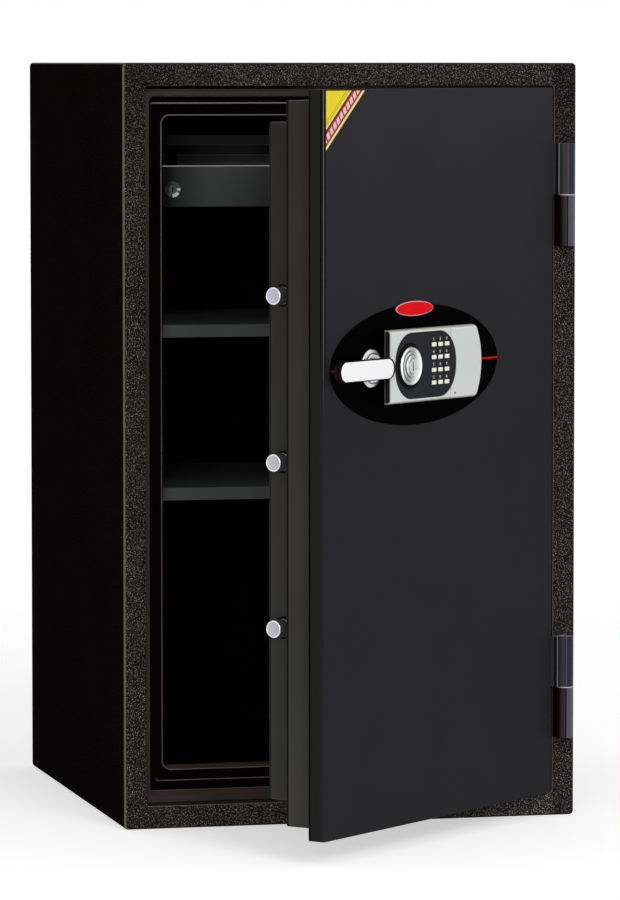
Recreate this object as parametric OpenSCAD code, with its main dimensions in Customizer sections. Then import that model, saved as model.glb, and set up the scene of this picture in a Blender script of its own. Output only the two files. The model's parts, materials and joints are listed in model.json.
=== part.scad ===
// Fire safe with a stepped door, three sliding bolts, an electronic keypad lock and a small drawer.
// Millimetres. The origin is the centre of the base, +Z is up and the front faces -Y.

/* [Body] */
// Overall width
body_w = 550; // [500:5:620]
// Overall height
body_h = 900; // [860:5:1000]
// Overall depth without the hinges and the lock
body_d = 580; // [540:5:680]
// Thickness of the outer steel sheet
shell_t = 2; // [1.5:0.5:3]
// Bend radius of the outer sheet
edge_r = 5; // [4:1:10]
// Width of the textured strip around the door
strip_w = 27; // [24:1:34]
// Thickness of the rear wall with its fill
rear_wall = 70; // [55:5:90]

/* [Door jamb] */
// Width of the first step
step1_w = 9; // [7:1:12]
// Distance of the first step behind the front
step1_d = 22; // [22:1:24]
// Distance of the second step behind the front
step2_d = 64; // [63:1:68]
// Distance of the rear end of the jamb behind the front
throat_d = 102; // [102:1:108]
// Width of the second step at the sides
rim_side = 24; // [23:1:26]
// Width of the second step at the top and bottom
rim_top = 26; // [25:1:30]
// How much the throat narrows towards the rear at each side
throat_taper = 9; // [6:1:9]
// Wall thickness of the jamb moulding
jamb_t = 3; // [2:0.5:4]
// Corner radius of the inner rim
rim_r = 13; // [8:1:18]
// Width of the seal strip
seal_w = 5.5; // [4:0.5:8]
// Height of the seal strip
seal_h = 4; // [2:0.5:4.5]

/* [Inner compartment] */
// Thickness of the liner sheet
liner_t = 1.5; // [1:0.5:2]
// Thickness of the shelf sheet
shelf_t = 1.5; // [1:0.5:2]
// Height of the folded shelf edge
shelf_lip = 15; // [12:1:20]
// Top of the lower shelf above the base
lower_shelf_z = 393; // [340:1:420]
// Top of the upper shelf above the base
upper_shelf_z = 588; // [540:1:610]
// Distance of the shelf fronts behind the front
shelf_front_d = 115; // [112:1:130]
// Gap between the shelf backs and the rear liner wall
shelf_back_gap = 12; // [6:1:20]
// Leg of the shelf support angles
support_leg = 13; // [10:1:16]
// How much shorter the support angles are than the shelf at each end
support_setback = 20; // [10:1:40]

/* [Drawer] */
// Width of the drawer bay
bay_w = 230; // [200:5:240]
// Distance of the drawer hood top below the ceiling of the compartment
hood_drop = 24; // [20:1:30]
// Height of the folded edge of the hood
hood_lip = 12; // [10:1:16]
// Height of the drawer front
drawer_h = 49; // [44:1:54]
// How far the drawer back rises above the drawer front
drawer_back_rise = 7; // [0:1:12]
// Gap between the hood edge and the top of the drawer front
drawer_top_gap = 24; // [20:1:28]
// Length of the drawer
drawer_len = 330; // [260:5:350]
// How much longer the hood is than the drawer
hood_extra = 15; // [10:1:30]
// Width of the runners under the drawer
runner_w = 12; // [8:1:20]
// Thickness of the drawer sheet
drawer_t = 1.2; // [1:0.1:1.5]
// Radius of the drawer lock flange
drawer_lock_r = 9.5; // [8:0.5:11]

/* [Door] */
// Gap between the door and the frame
door_gap = 2.2; // [1.8:0.1:3]
// Thickness of the front slab
slab_t = 20; // [16:1:20]
// Inset of the middle tier from the slab
tier2_inset = 12; // [12:0.5:15]
// Distance of the back of the middle tier behind the front
tier2_d = 58; // [50:1:58]
// Inset of the rear tier from the middle tier at the sides
tier3_side = 28.3; // [28:0.1:32]
// Inset of the rear tier from the middle tier at the top and bottom
tier3_top = 24.8; // [24:0.1:30]
// Distance of the back of the rear tier behind the front
tier3_d = 100; // [96:1:100]
// Thickness of the door front sheet
skin_t = 3; // [2:0.5:4]
// Thickness of the door pan sheet
pan_t = 2; // [1.5:0.5:2.5]
// Angle at which the door stands open
door_angle = 42.5; // [30:0.5:60]

/* [Hinges] */
// Distance of the hinge axis from the side of the body
hinge_x = 14; // [13:1:18]
// Distance of the hinge axis in front of the body
hinge_y = 10; // [10:0.5:12]
// Radius of the hinge knuckles
knuckle_r = 9.5; // [8:0.5:9.5]
// Length of one hinge
hinge_len = 122; // [100:2:140]
// Distance between the centres of the two hinges
hinge_pitch = 588; // [500:2:620]
// Radius of the hinge pins
pin_r = 5; // [4:0.5:6]
// Thickness of the washer between two knuckles
washer_t = 1.6; // [1.4:0.1:4]

/* [Boltwork] */
// Radius of the live bolts
bolt_r = 10; // [8:0.5:10]
// Distance between two live bolts
bolt_pitch = 188; // [170:1:190]
// Height of the middle live bolt above the base
bolt_mid_z = 451; // [440:1:460]
// Distance of the bolts behind the front
bolt_d = 81; // [80:0.5:82]
// How far the bolts stick out of the door
bolt_reach = 21; // [20.5:0.5:22]
// Travel of the bolts
bolt_throw = 20; // [16:0.5:20]
// Thickness of the bolt bar
bar_t = 5; // [4:0.5:6]
// Width of the bolt bar
bar_w = 19; // [16:1:19]
// Radius of the handle spindle
spindle_r = 6; // [5:0.5:7]
// Radius of the pin on the drive cam
drive_pin_r = 4; // [3:0.5:4.5]

/* [Lock] */
// Height of the lock centre above the base
lock_z = 557; // [540:1:580]
// Width of the black oval plate
plate_w = 353; // [340:1:360]
// Height of the black oval plate
plate_h = 138; // [130:1:150]
// Thickness of the black oval plate
plate_t = 1.2; // [1:0.1:2]
// Distance of the oval plate's left end from the free edge of the door
plate_inset = 12.3; // [10:0.1:30]
// Distance of the lock housing's left end from the oval plate's centre
housing_offset = 76; // [74:1:78]
// Length of the lock housing
housing_w = 193.5; // [185:0.5:200]
// Height of the lock housing
housing_h = 84; // [80:1:90]
// Thickness of the dark lock base
base_t = 6.3; // [6.1:0.1:8]
// Height of the silver cover over the lock base
cover_t = 8.5; // [8.3:0.1:10]
// Wall thickness of the silver cover
cover_wall = 1.8; // [1.4:0.1:2]
// Bend radius of the silver cover along its long edges
cover_r = 5; // [3:0.5:6]
// Length of the keypad panel
panel_w = 129; // [124:1:132]
// Height of the keypad panel
panel_h = 75; // [70:1:76]
// Gap between two covers or panels
cover_gap = 0.3; // [0.3:0.1:0.5]
// Distance of the key cylinder from the left end of the keypad panel
cylinder_x = 31; // [30:0.5:34]
// Radius of the key cylinder bezel
bezel_r = 21.9; // [18:0.1:22]
// Radius of the key plug
plug_r = 8.4; // [7:0.1:9]
// Width of a key
key_w = 9.8; // [9:0.1:11.2]
// Height of a key
key_h = 5.8; // [5:0.1:8]
// Distance between two key columns
key_pitch_x = 13.75; // [13.4:0.05:14.5]
// Distance between two key rows
key_pitch_z = 14.55; // [12:0.05:15]
// Travel of a key
key_travel = 1; // [0.5:0.1:1.2]
// Distance of the first key column from the left end of the keypad panel
key_x = 81.5; // [80:0.5:83]

/* [Handle] */
// Distance of the handle axis from the oval plate's centre
handle_offset = 97; // [95:1:101]
// Radius of the round handle rosette
rosette_r = 21.8; // [19:0.1:22]
// Height of the round handle rosette
rosette_t = 7; // [5:0.5:9]
// Length of the lever
lever_len = 112; // [96:1:116]
// Width of the lever
lever_w = 24; // [20:1:26]
// Thickness of the lever
lever_t = 11; // [9:0.5:12]
// Gap behind the lever
lever_gap = 12.5; // [12:0.5:30]
// Distance of the handle axis from the right end of the lever
lever_tail = 19; // [16:1:24]

/* [Badge and sticker] */
// Width of the plain oval badge
badge_w = 78; // [60:1:90]
// Height of the plain oval badge
badge_h = 17; // [12:0.5:20]
// Width of the corner sticker
sticker_w = 78; // [40:1:100]
// Height of the corner sticker
sticker_h = 66; // [40:1:90]

/* [Hidden] */
$fn = 48;

// Clearances
run_gap = 0.06;
loose_gap = 0.3;
fill_gap = 0.3;

// Outlines as [left, right, bottom, top]
function grow(b, m) = [b[0] - m, b[1] + m, b[2] - m, b[3] + m];
function inset(b, side, top) = [b[0] + side, b[1] - side, b[2] + top, b[3] - top];
body_box = [-body_w / 2, body_w / 2, 0, body_h];
opening = grow(body_box, -strip_w);
step2_box = grow(opening, -step1_w);
rim_box = inset(step2_box, rim_side, rim_top);
throat_box = grow(rim_box, jamb_t);
liner_box = inset(rim_box, throat_taper, 0);
door_box = grow(opening, -door_gap);
tier2_box = grow(door_box, -tier2_inset);
tier3_box = inset(tier2_box, tier3_side, tier3_top);
front_y = -body_d / 2;
liner_end_d = body_d - rear_wall;
ceiling_z = liner_box[3];
open_r = 4;
step_r = 8;

// Hinge axis
axis_x = body_w / 2 - hinge_x;
axis_y = front_y - hinge_y;
hinge_zs = [body_h / 2 - hinge_pitch / 2, body_h / 2 + hinge_pitch / 2];
knuckle_len = (hinge_len - washer_t) / 2;
pin_len = hinge_len - 20;
leaf_t = door_gap - 0.4;
leaf_depth = 13;

// Lock places
plate_x = door_box[0] + plate_inset + plate_w / 2;
housing_x = plate_x - housing_offset;
handle_x = plate_x - handle_offset;

// Boltwork
bolt_zs = [bolt_mid_z - bolt_pitch, bolt_mid_z, bolt_mid_z + bolt_pitch];
bolt_tip_x = tier3_box[0] - bolt_reach;
bar_x = tier3_box[0] + bolt_throw + 0.5;
bar_end = 20;
bush_wall = 3;
bush_flange = 2;
bush_flange_t = 1.5;
cam_d = tier2_d + 6;
cam_t = 6;
cam_r = 20;
// The drive pin starts and ends 45 degrees each side of the vertical, so its chord is the throw.
drive_r = bolt_throw / sqrt(2);
drive_x = handle_x - drive_r * sin(45);
drive_z = lock_z - drive_r * cos(45);
yoke_d = cam_d + cam_t + 4;
yoke_t = 5;
yoke_below = 27;
yoke_above = 48;
yoke_low_z = lock_z - yoke_below;
yoke_high_z = lock_z + yoke_above;
yoke_reach = 18;
yoke_right_x = drive_x + yoke_reach;
// The pin leads the constant ratio by up to 2.1 percent of the throw, which the slot takes up.
slot_half = drive_pin_r + 0.022 * bolt_throw + 0.2;
solenoid_rise = 36;
solenoid_z = lock_z + solenoid_rise;
solenoid_x = drive_x + yoke_reach / 2;
plunger_r = 3;
plunger_travel = 5;
strike_hole_r = bolt_r + 1.5;
strike_t = 3;
strike_end = 26;
strike_box = [throat_box[0] - strike_t, throat_box[0], bolt_zs[0] - strike_end, bolt_zs[2] + strike_end];
strike_d0 = step2_d + jamb_t + 1;
strike_d1 = throat_d - 4;

// Lock heights above the door front
base_h0 = plate_t;
base_h1 = base_h0 + base_t;
cover_h1 = base_h1 + cover_t;
housing_end_x = housing_x + housing_w;
housing_end_r = 78;
housing_zs = [lock_z - housing_h / 2, lock_z + housing_h / 2];
base_inset = 1;
end_setback = 0.8;
end_wall = 3;
panel_x0 = housing_x + 10;
panel_x1 = panel_x0 + panel_w;
panel_r = panel_h / 2 - 2.5;
seam_x = panel_x1 - 11.5;
panel_h1 = cover_h1 - 0.5;
plug_x = panel_x0 + cylinder_x;
bezel_h1 = cover_h1 + 4;
cylinder_r = 12;
key_cols = [for (i = [0:2]) panel_x0 + key_x + i * key_pitch_x];
key_rows = [for (i = [0:3]) lock_z + 22 - i * key_pitch_z];
key_flange = 0.8;
key_flange_t = 1.2;
key_top_h = panel_h1 + 0.8;
key_flange_h1 = panel_h1 - 3.4;
pocket_h1 = key_flange_h1 + loose_gap;
board_t = 1.6;
board_h0 = base_h1 - 4.2;
dome_h1 = key_flange_h1 - key_flange_t - key_travel - 0.1;
battery_r = 5.25;
battery_len = 44.5;
battery_x0 = panel_x1 + 1.5;
battery_pitch = 11.2;
battery_h = base_h0 + 2 + battery_r;
tail_r = 3;
key_arm_len = plug_x - yoke_right_x - 1;

// Screws that hold the inner cover
screw_r = 2;
screw_len = 8;
screw_head_r = 4.5;
screw_head_t = 1.6;
screw_edge = 16;
screw_box = grow(tier3_box, -screw_edge);
screw_xs = [screw_box[0], screw_box[1]];
screw_zs = [for (k = [0:3]) screw_box[2] + k * (screw_box[3] - screw_box[2]) / 3];
screw_spots = concat(
    [for (x = screw_xs, z = screw_zs) [x, z]],
    [for (z = [screw_zs[0], screw_zs[3]]) [0, z]]
);

// Shelves
shelf_fold = 9;

// Drawer
bay_x0 = liner_box[0];
bay_x1 = bay_x0 + bay_w;
hood_t = 1.5;
hood_flange = 14;
keeper_w = 14;
hood_top_z = ceiling_z - hood_drop;
front_top_z = hood_top_z - hood_lip - drawer_top_gap;
front_low_z = front_top_z - drawer_h;
runner_z = front_low_z + 2;
tray_x0 = bay_x0 + hood_t + loose_gap;
tray_x1 = bay_x1 - loose_gap;
drawer_d = shelf_front_d;
drawer_lock_x = tray_x0 + drawer_lock_r + 3.5;
drawer_lock_z = front_top_z - drawer_h * 0.58;
drawer_plug_r = 5;
barrel_r = drawer_lock_r - 1.5;
barrel_flange_t = 2.5;
keyway_w = 1.4;
barrel_d1 = drawer_d + drawer_t + 5.5;
keeper_d = drawer_d + drawer_t + 3.6;
keeper_t = 1.5;
keeper_foot = 12;
keeper_low_z = front_top_z - 12;
drawer_cam_d = max(barrel_d1, keeper_d + keeper_t) + 0.8;
drawer_cam_t = 2;
drawer_cam_len = keeper_low_z + 6 - drawer_lock_z;

// Lays a flat outline on the plane at depth d behind the front and gives it a thickness.
module layer(d, t) {
    translate([0, front_y + d + t, 0]) rotate([90, 0, 0]) linear_extrude(t) children();
}

// Lays a flat outline on the door front, from height h0 to height h1 above it.
module raised(h0, h1) {
    layer(-h1, h1 - h0) children();
}

module rect(b) {
    translate([b[0], b[2]]) square([b[1] - b[0], b[3] - b[2]]);
}

module round_rect(b, r) {
    rect([b[0] + r, b[1] - r, b[2], b[3]]);
    rect([b[0], b[1], b[2] + r, b[3] - r]);
    for (x = [b[0] + r, b[1] - r], z = [b[2] + r, b[3] - r]) translate([x, z]) circle(r);
}

module ring(outer, outer_radius, inner, inner_radius) {
    difference() {
        round_rect(outer, outer_radius);
        round_rect(inner, inner_radius);
    }
}

// A block between two depths behind the front
module block(b, d0, d1) {
    translate([b[0], front_y + d0, b[2]]) cube([b[1] - b[0], d1 - d0, b[3] - b[2]]);
}

// A round bar along the depth, between two depths behind the front
module rod(x, z, r, d0, d1) {
    translate([x, front_y + d1, z]) rotate([90, 0, 0]) cylinder(r = r, h = d1 - d0);
}

// A round bar along the width
module cross_rod(x0, x1, d, z, r) {
    translate([x0, front_y + d, z]) rotate([0, 90, 0]) cylinder(r = r, h = x1 - x0);
}

// Swings what is drawn in the closed position to the angle at which the door stands open.
module on_door() {
    translate([axis_x, axis_y, 0]) rotate([0, 0, door_angle]) translate([-axis_x, -axis_y, 0]) children();
}

module ellipse(w, h, steps) {
    polygon([for (i = [0:steps - 1]) [w / 2 * cos(360 * i / steps), h / 2 * sin(360 * i / steps)]]);
}

// Cabinet

module outer_shell() {
    color("#15120f")
    layer(shell_t, body_d - 2 * shell_t) ring(body_box, edge_r, grow(body_box, -shell_t), edge_r - shell_t);
}

module rear_panel() {
    color("#15120f") layer(body_d - shell_t, shell_t) round_rect(body_box, edge_r);
}

module front_frame() {
    color("#2c2826") {
        layer(0, shell_t) ring(body_box, edge_r, opening, open_r);
        layer(shell_t, step1_d - shell_t) ring(grow(opening, shell_t), open_r + shell_t, opening, open_r);
    }
}

module body_insulation() {
    edge = shell_t + fill_gap;
    color("#b9b3a6") difference() {
        layer(edge, body_d - 2 * edge) round_rect(grow(body_box, -edge), edge_r - edge);
        block(grow(opening, shell_t + fill_gap), 0, step1_d + jamb_t + fill_gap);
        block(grow(step2_box, jamb_t + fill_gap), 0, step2_d + jamb_t + fill_gap);
        block(grow(throat_box, fill_gap), 0, throat_d + liner_t + fill_gap);
        block(grow(liner_box, liner_t + fill_gap), 0, liner_end_d + fill_gap);
        block(grow(strike_box, fill_gap), strike_d0 - fill_gap, strike_d1 + fill_gap);
        for (z = bolt_zs) cross_rod(bolt_tip_x - 4, throat_box[0], bolt_d, z, strike_hole_r + 1);
    }
}

module jamb_frame() {
    back_d = step2_d + jamb_t;
    color("#2b2320") {
        layer(step1_d, jamb_t) ring(grow(step2_box, step1_w + shell_t), open_r + shell_t, step2_box, step_r);
        layer(step1_d + jamb_t, step2_d - step1_d - jamb_t)
            ring(grow(step2_box, jamb_t), step_r + jamb_t, step2_box, step_r);
        layer(step2_d, jamb_t) ring(grow(step2_box, jamb_t), step_r + jamb_t, rim_box, rim_r);
        for (z = [throat_box[2], rim_box[3]])
            block([throat_box[0], throat_box[1], z, z + jamb_t], back_d, throat_d);
        difference() {
            throat_side(1, back_d);
            for (z = bolt_zs) cross_rod(throat_box[0] - 1, liner_box[0] + 1, bolt_d, z, strike_hole_r + 0.5);
        }
        throat_side(-1, back_d);
    }
}

// Tapered side wall of the throat: side is 1 on the left and -1 on the right.
module throat_side(side, d0) {
    translate([0, front_y, throat_box[2]]) linear_extrude(throat_box[3] - throat_box[2])
        polygon([
            [side * throat_box[0], d0], [side * rim_box[0], d0],
            [side * liner_box[0], throat_d], [side * throat_box[0], throat_d]
        ]);
}

module door_seal() {
    seal_box = grow(step2_box, -rim_side / 3);
    color("#3a3431") layer(step2_d - seal_h, seal_h)
        ring(seal_box, step_r, grow(seal_box, -seal_w), step_r - seal_w / 2);
}

module strike_plate() {
    color("#9a9a9c") difference() {
        block(strike_box, strike_d0, strike_d1);
        for (z = bolt_zs)
            cross_rod(throat_box[0] - strike_t - 1, throat_box[0] + 1, bolt_d, z, strike_hole_r);
    }
}

module inner_liner() {
    outer = grow(liner_box, liner_t);
    color("#1d1b1b") {
        layer(throat_d, liner_t) difference() {
            rect(throat_box);
            rect(liner_box);
        }
        layer(throat_d + liner_t, liner_end_d - throat_d - 2 * liner_t) difference() {
            rect(outer);
            rect(liner_box);
        }
        layer(liner_end_d - liner_t, liner_t) rect(outer);
    }
}

module shelf(top_z) {
    x0 = liner_box[0] + 1;
    back_d = liner_end_d - liner_t - shelf_back_gap;
    block([x0, -x0, top_z - shelf_t, top_z], shelf_front_d, back_d);
    for (d = [shelf_front_d, back_d - shelf_t])
        block([x0, -x0, top_z - shelf_lip, top_z - shelf_t], d, d + shelf_t);
    block([x0, -x0, top_z - shelf_lip, top_z - shelf_lip + shelf_t], shelf_front_d + shelf_t,
        shelf_front_d + shelf_fold);
}

module upper_shelf() {
    color("#303233") shelf(upper_shelf_z);
}

module lower_shelf() {
    color("#303233") shelf(lower_shelf_z);
}

// Four angles welded to the liner walls, two under each shelf
module shelf_supports() {
    d0 = shelf_front_d + support_setback;
    d1 = liner_end_d - liner_t - shelf_back_gap - support_setback;
    color("#26272a") for (top_z = [lower_shelf_z, upper_shelf_z], side = [0, 1]) mirror([side, 0, 0]) {
        under = top_z - shelf_t;
        x = liner_box[0];
        block([x, x + shelf_t, under - support_leg, under], d0, d1);
        block([x + shelf_t, x + support_leg, under - shelf_t, under], d0, d1);
    }
}

// Hood that hangs from the ceiling and carries the drawer on two folded runners
module drawer_hood() {
    d0 = drawer_d;
    d1 = drawer_d + drawer_len + hood_extra;
    runner_d = d0 + drawer_t + loose_gap;
    color("#2a2c2b") {
        block([bay_x0 + hood_t, bay_x1, hood_top_z - hood_t, hood_top_z], d0, d1);
        block([tray_x0, tray_x1, hood_top_z - hood_lip, hood_top_z - hood_t], d0, d0 + hood_t);
        block([bay_x0, bay_x0 + hood_t, runner_z - hood_t, ceiling_z], runner_d, d1);
        block([bay_x1, bay_x1 + hood_t, runner_z - hood_t, ceiling_z], runner_d, d1);
        block([bay_x1 + hood_t, bay_x1 + hood_flange, ceiling_z - hood_t, ceiling_z], runner_d, d1);
        block([bay_x0 + hood_t, bay_x0 + runner_w, runner_z - hood_t, runner_z], runner_d, d1);
        block([bay_x1 - runner_w, bay_x1, runner_z - hood_t, runner_z], runner_d, d1);
    }
}

// Bracket under the hood, behind which the cam of the drawer lock turns
module drawer_keeper() {
    x0 = drawer_lock_x - keeper_w / 2;
    top_z = hood_top_z - hood_t;
    foot_d = keeper_d + keeper_t;
    color("#171616") {
        block([x0, x0 + keeper_w, keeper_low_z, top_z], keeper_d, foot_d);
        block([x0, x0 + keeper_w, top_z - keeper_t, top_z], foot_d, foot_d + keeper_foot);
    }
}

// Plan outline of a hinge axis: x from the axis, y from the axis
module at_hinge(z, h) {
    translate([axis_x, axis_y, z]) linear_extrude(h) children();
}

module lower_hinge_knuckles() {
    face = hinge_y;
    color("#2e2a2a") for (zc = hinge_zs) difference() {
        union() {
            translate([axis_x, axis_y, zc - hinge_len / 2]) cylinder(r = knuckle_r, h = knuckle_len);
            at_hinge(zc - hinge_len / 2, knuckle_len) polygon([
                [-hinge_x - 1 + 2.5, face], [-hinge_x + 1.5, face - 4], [-knuckle_r * 0.9, -knuckle_r * 0.44],
                [0, 0], [knuckle_r, 0], [knuckle_r + 1, face]
            ]);
        }
        translate([axis_x, axis_y, zc - pin_len / 2]) cylinder(r = pin_r + run_gap, h = pin_len);
    }
}

module hinge_pins() {
    color("#8d8d90") for (zc = hinge_zs)
        translate([axis_x, axis_y, zc - pin_len / 2]) cylinder(r = pin_r, h = pin_len);
}

module hinge_washers() {
    color("#d8d8da") for (zc = hinge_zs) translate([axis_x, axis_y, zc - washer_t / 2]) difference() {
        cylinder(r = knuckle_r + 0.4, h = washer_t - loose_gap);
        translate([0, 0, -1]) cylinder(r = pin_r + run_gap, h = washer_t + 2);
    }
}

// Drawer

module drawer_tray() {
    side_top = front_top_z - 6;
    floor_z = runner_z + loose_gap;
    d0 = drawer_d + drawer_t;
    d1 = drawer_d + drawer_len;
    color("#303433") {
        difference() {
            block([tray_x0, tray_x1, front_low_z, front_top_z], drawer_d, d0);
            rod(drawer_lock_x, drawer_lock_z, barrel_r + run_gap, drawer_d - 1, d0 + 1);
        }
        block([tray_x0, tray_x1, floor_z, floor_z + drawer_t], d0, d1);
        for (x = [tray_x0, tray_x1 - drawer_t])
            block([x, x + drawer_t, floor_z + drawer_t, side_top], d0, d1);
        block([tray_x0 + drawer_t, tray_x1 - drawer_t, floor_z + drawer_t, front_top_z + drawer_back_rise],
            d1 - drawer_t, d1);
    }
}

module drawer_lock_barrel() {
    flange_d = drawer_d - barrel_flange_t;
    color("#c9c9cc") difference() {
        union() {
            rod(drawer_lock_x, drawer_lock_z, drawer_lock_r, flange_d, drawer_d);
            rod(drawer_lock_x, drawer_lock_z, barrel_r, drawer_d, barrel_d1);
        }
        rod(drawer_lock_x, drawer_lock_z, drawer_plug_r + run_gap, flange_d - 1, barrel_d1 + 1);
    }
}

module drawer_lock_plug() {
    plug_d = drawer_d - barrel_flange_t - 0.5;
    x = drawer_lock_x;
    z = drawer_lock_z;
    slot = 0.68 * drawer_plug_r;
    cam_half = 4;
    color("#b4b4b8") {
        difference() {
            rod(x, z, drawer_plug_r, plug_d, drawer_cam_d);
            block([x - keyway_w / 2, x + keyway_w / 2, z - slot, z + slot], plug_d - 1, plug_d + 6);
        }
        rod(x, z, drawer_plug_r, drawer_cam_d, drawer_cam_d + drawer_cam_t);
        block([x, x + drawer_cam_len, z - cam_half, z + cam_half], drawer_cam_d, drawer_cam_d + drawer_cam_t);
    }
}

// Door, drawn closed and swung open by on_door()

module door_skin() {
    color("#2d2e31") on_door() {
        difference() {
            layer(0, skin_t) round_rect(door_box, 2);
            lock_holes(-1, skin_t + 1);
            cylinder_hole(-1, skin_t + 1);
        }
        layer(skin_t, slab_t - skin_t) ring(door_box, 2, grow(door_box, -pan_t), 1);
    }
}

// Holes for the spindle, the tail of the key plug and the lock cable
module lock_holes(d0, d1) {
    rod(handle_x, lock_z, spindle_r + 0.5, d0, d1);
    rod(plug_x, lock_z, tail_r + 1, d0, d1);
    rod(key_cols[1], lock_z, 4, d0, d1);
}

module cylinder_hole(d0, d1) {
    rod(plug_x, lock_z, cylinder_r + 0.2, d0, d1);
}

module door_insulation() {
    color("#b9b3a6") on_door() difference() {
        union() {
            layer(skin_t + fill_gap, slab_t - pan_t - skin_t - 2 * fill_gap)
                rect(grow(door_box, -pan_t - fill_gap));
            layer(skin_t + fill_gap, tier2_d - pan_t - skin_t - 2 * fill_gap)
                round_rect(grow(tier2_box, -pan_t - fill_gap), 2);
        }
        lock_holes(0, tier2_d);
        cylinder_hole(0, skin_t + 8);
    }
}

module door_middle_pan() {
    color("#35322f") on_door() {
        layer(slab_t - pan_t, pan_t) ring(grow(door_box, -pan_t), 1, grow(tier2_box, -pan_t), 2);
        layer(slab_t, tier2_d - pan_t - slab_t) ring(tier2_box, 4, grow(tier2_box, -pan_t), 2);
        difference() {
            layer(tier2_d - pan_t, pan_t) round_rect(tier2_box, 4);
            lock_holes(tier2_d - pan_t - 1, tier2_d + 1);
        }
    }
}

module door_inner_cover() {
    color("#35322f") on_door() {
        difference() {
            layer(tier2_d, tier3_d - pan_t - tier2_d) ring(tier3_box, 4, grow(tier3_box, -pan_t), 2);
            for (z = bolt_zs)
                cross_rod(tier3_box[0] - 1, tier3_box[0] + pan_t + 1, bolt_d, z,
                    bolt_r + bush_wall + run_gap);
        }
        difference() {
            layer(tier3_d - pan_t, pan_t) round_rect(tier3_box, 4);
            for (p = screw_spots) rod(p[0], p[1], screw_r + 0.1, tier3_d - pan_t - 1, tier3_d + 1);
        }
    }
}

module cover_screws() {
    color("#77777a") on_door() for (p = screw_spots) {
        rod(p[0], p[1], screw_r, tier3_d - screw_len, tier3_d);
        rod(p[0], p[1], screw_head_r, tier3_d, tier3_d + screw_head_t);
    }
}

module bolt_bushes() {
    color("#111112") on_door() for (z = bolt_zs) difference() {
        union() {
            cross_rod(tier3_box[0], bar_x - bar_t, bolt_d, z, bolt_r + bush_wall);
            cross_rod(tier3_box[0] + pan_t, tier3_box[0] + pan_t + bush_flange_t, bolt_d, z,
                bolt_r + bush_wall + bush_flange);
        }
        cross_rod(tier3_box[0] - 1, bar_x, bolt_d, z, bolt_r + run_gap);
    }
}

module upper_hinge_knuckles() {
    edge = door_box[1] - axis_x;
    face = hinge_y;
    color("#23252c") on_door() for (zc = hinge_zs) difference() {
        union() {
            translate([axis_x, axis_y, zc + washer_t / 2]) cylinder(r = knuckle_r, h = knuckle_len);
            at_hinge(zc + washer_t / 2, knuckle_len) polygon([
                [edge, face + leaf_depth], [edge, face - 0.8], [-knuckle_r * 0.95, -knuckle_r * 0.3],
                [0, 0], [-knuckle_r * 0.4, face - 1.2], [edge + leaf_t, face],
                [edge + leaf_t, face + leaf_depth]
            ]);
        }
        translate([axis_x, axis_y, zc - pin_len / 2]) cylinder(r = pin_r + run_gap, h = pin_len + loose_gap);
    }
}

module oval_plate() {
    color("#050506") on_door() difference() {
        raised(0, plate_t) translate([plate_x, lock_z]) ellipse(plate_w, plate_h, 120);
        lock_holes(-plate_t - 1, 1);
        cylinder_hole(-plate_t - 1, 1);
    }
}

module trim_line() {
    z0 = lock_z - 0.8;
    color("#c01622") on_door() raised(plate_t, plate_t + 0.3) {
        rect([plate_x - plate_w / 2 + 1, handle_x - rosette_r - 1, z0, z0 + 1.6]);
        rect([housing_end_x - base_inset + 0.5, plate_x + plate_w / 2 - 1, z0, z0 + 1.6]);
    }
}

module badge() {
    color("#c9141f") on_door() raised(plate_t, plate_t + 1.4)
        translate([plate_x - 4, lock_z + plate_h / 2 - 5]) ellipse(badge_w, badge_h, 72);
}

module corner_sticker() {
    x0 = door_box[0] + 5;
    z1 = door_box[3] - 1.5;
    color("#e8c51c") on_door() raised(0, 0.3)
        polygon([[x0, z1], [x0 + sticker_w, z1], [x0, z1 - sticker_h]]);
}

// Plan of the lock housing with its bowed right end, of a given half height; m shrinks its ends.
module housing_plan(m, half) {
    r = housing_end_r - m;
    translate([0, lock_z]) {
        translate([housing_x + m, -half]) square([housing_w * 0.6, 2 * half]);
        intersection() {
            translate([housing_x + housing_w * 0.5, -half]) square([housing_w, 2 * half]);
            translate([housing_end_x - housing_end_r, 0]) circle(r, $fn = 96);
        }
    }
}

module housing_outline(m) {
    housing_plan(m, housing_h / 2 - m);
}

module panel_outline(m) {
    half = panel_h / 2 + m;
    translate([0, lock_z]) round_rect([panel_x0 - m, panel_x1 + m, -half, half], panel_r + m);
}

module lock_base() {
    low_z = key_rows[3] - key_h;
    high_z = key_rows[0] + key_h;
    battery_half = 2 * battery_pitch + 0.5;
    end_x = housing_x + end_setback;
    color("#1a1a1c") on_door() difference() {
        union() {
            raised(base_h0, base_h1) housing_outline(base_inset);
            intersection() {
                raised(base_h1, cover_h1) rect([end_x, end_x + end_wall, housing_zs[0], housing_zs[1]]);
                cover_bar(cover_wall + loose_gap);
            }
        }
        cylinder_hole(-base_h1 - 1, 1);
        raised(board_h0, base_h1 + 1)
            rect([key_cols[0] - key_w, key_cols[2] + key_w, low_z, high_z]);
        raised(base_h0 + 1.6, base_h1 + 1)
            rect([battery_x0 - 0.5, battery_x0 + battery_len + 0.5,
                lock_z - battery_half, lock_z + battery_half]);
        rod(key_cols[1], lock_z, 4, -board_h0 - 1, 1);
    }
}

// Bar along the width with the rounded long edges of the silver cover; m shrinks it.
module cover_bar(m) {
    half = housing_h / 2 - m;
    top_y = front_y - cover_h1 + m;
    translate([housing_x - 1, 0, 0]) rotate([90, 0, 90]) linear_extrude(housing_w + 2)
        round_rect([top_y, front_y + cover_r + 1, lock_z - half, lock_z + half], cover_r - m);
}

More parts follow.
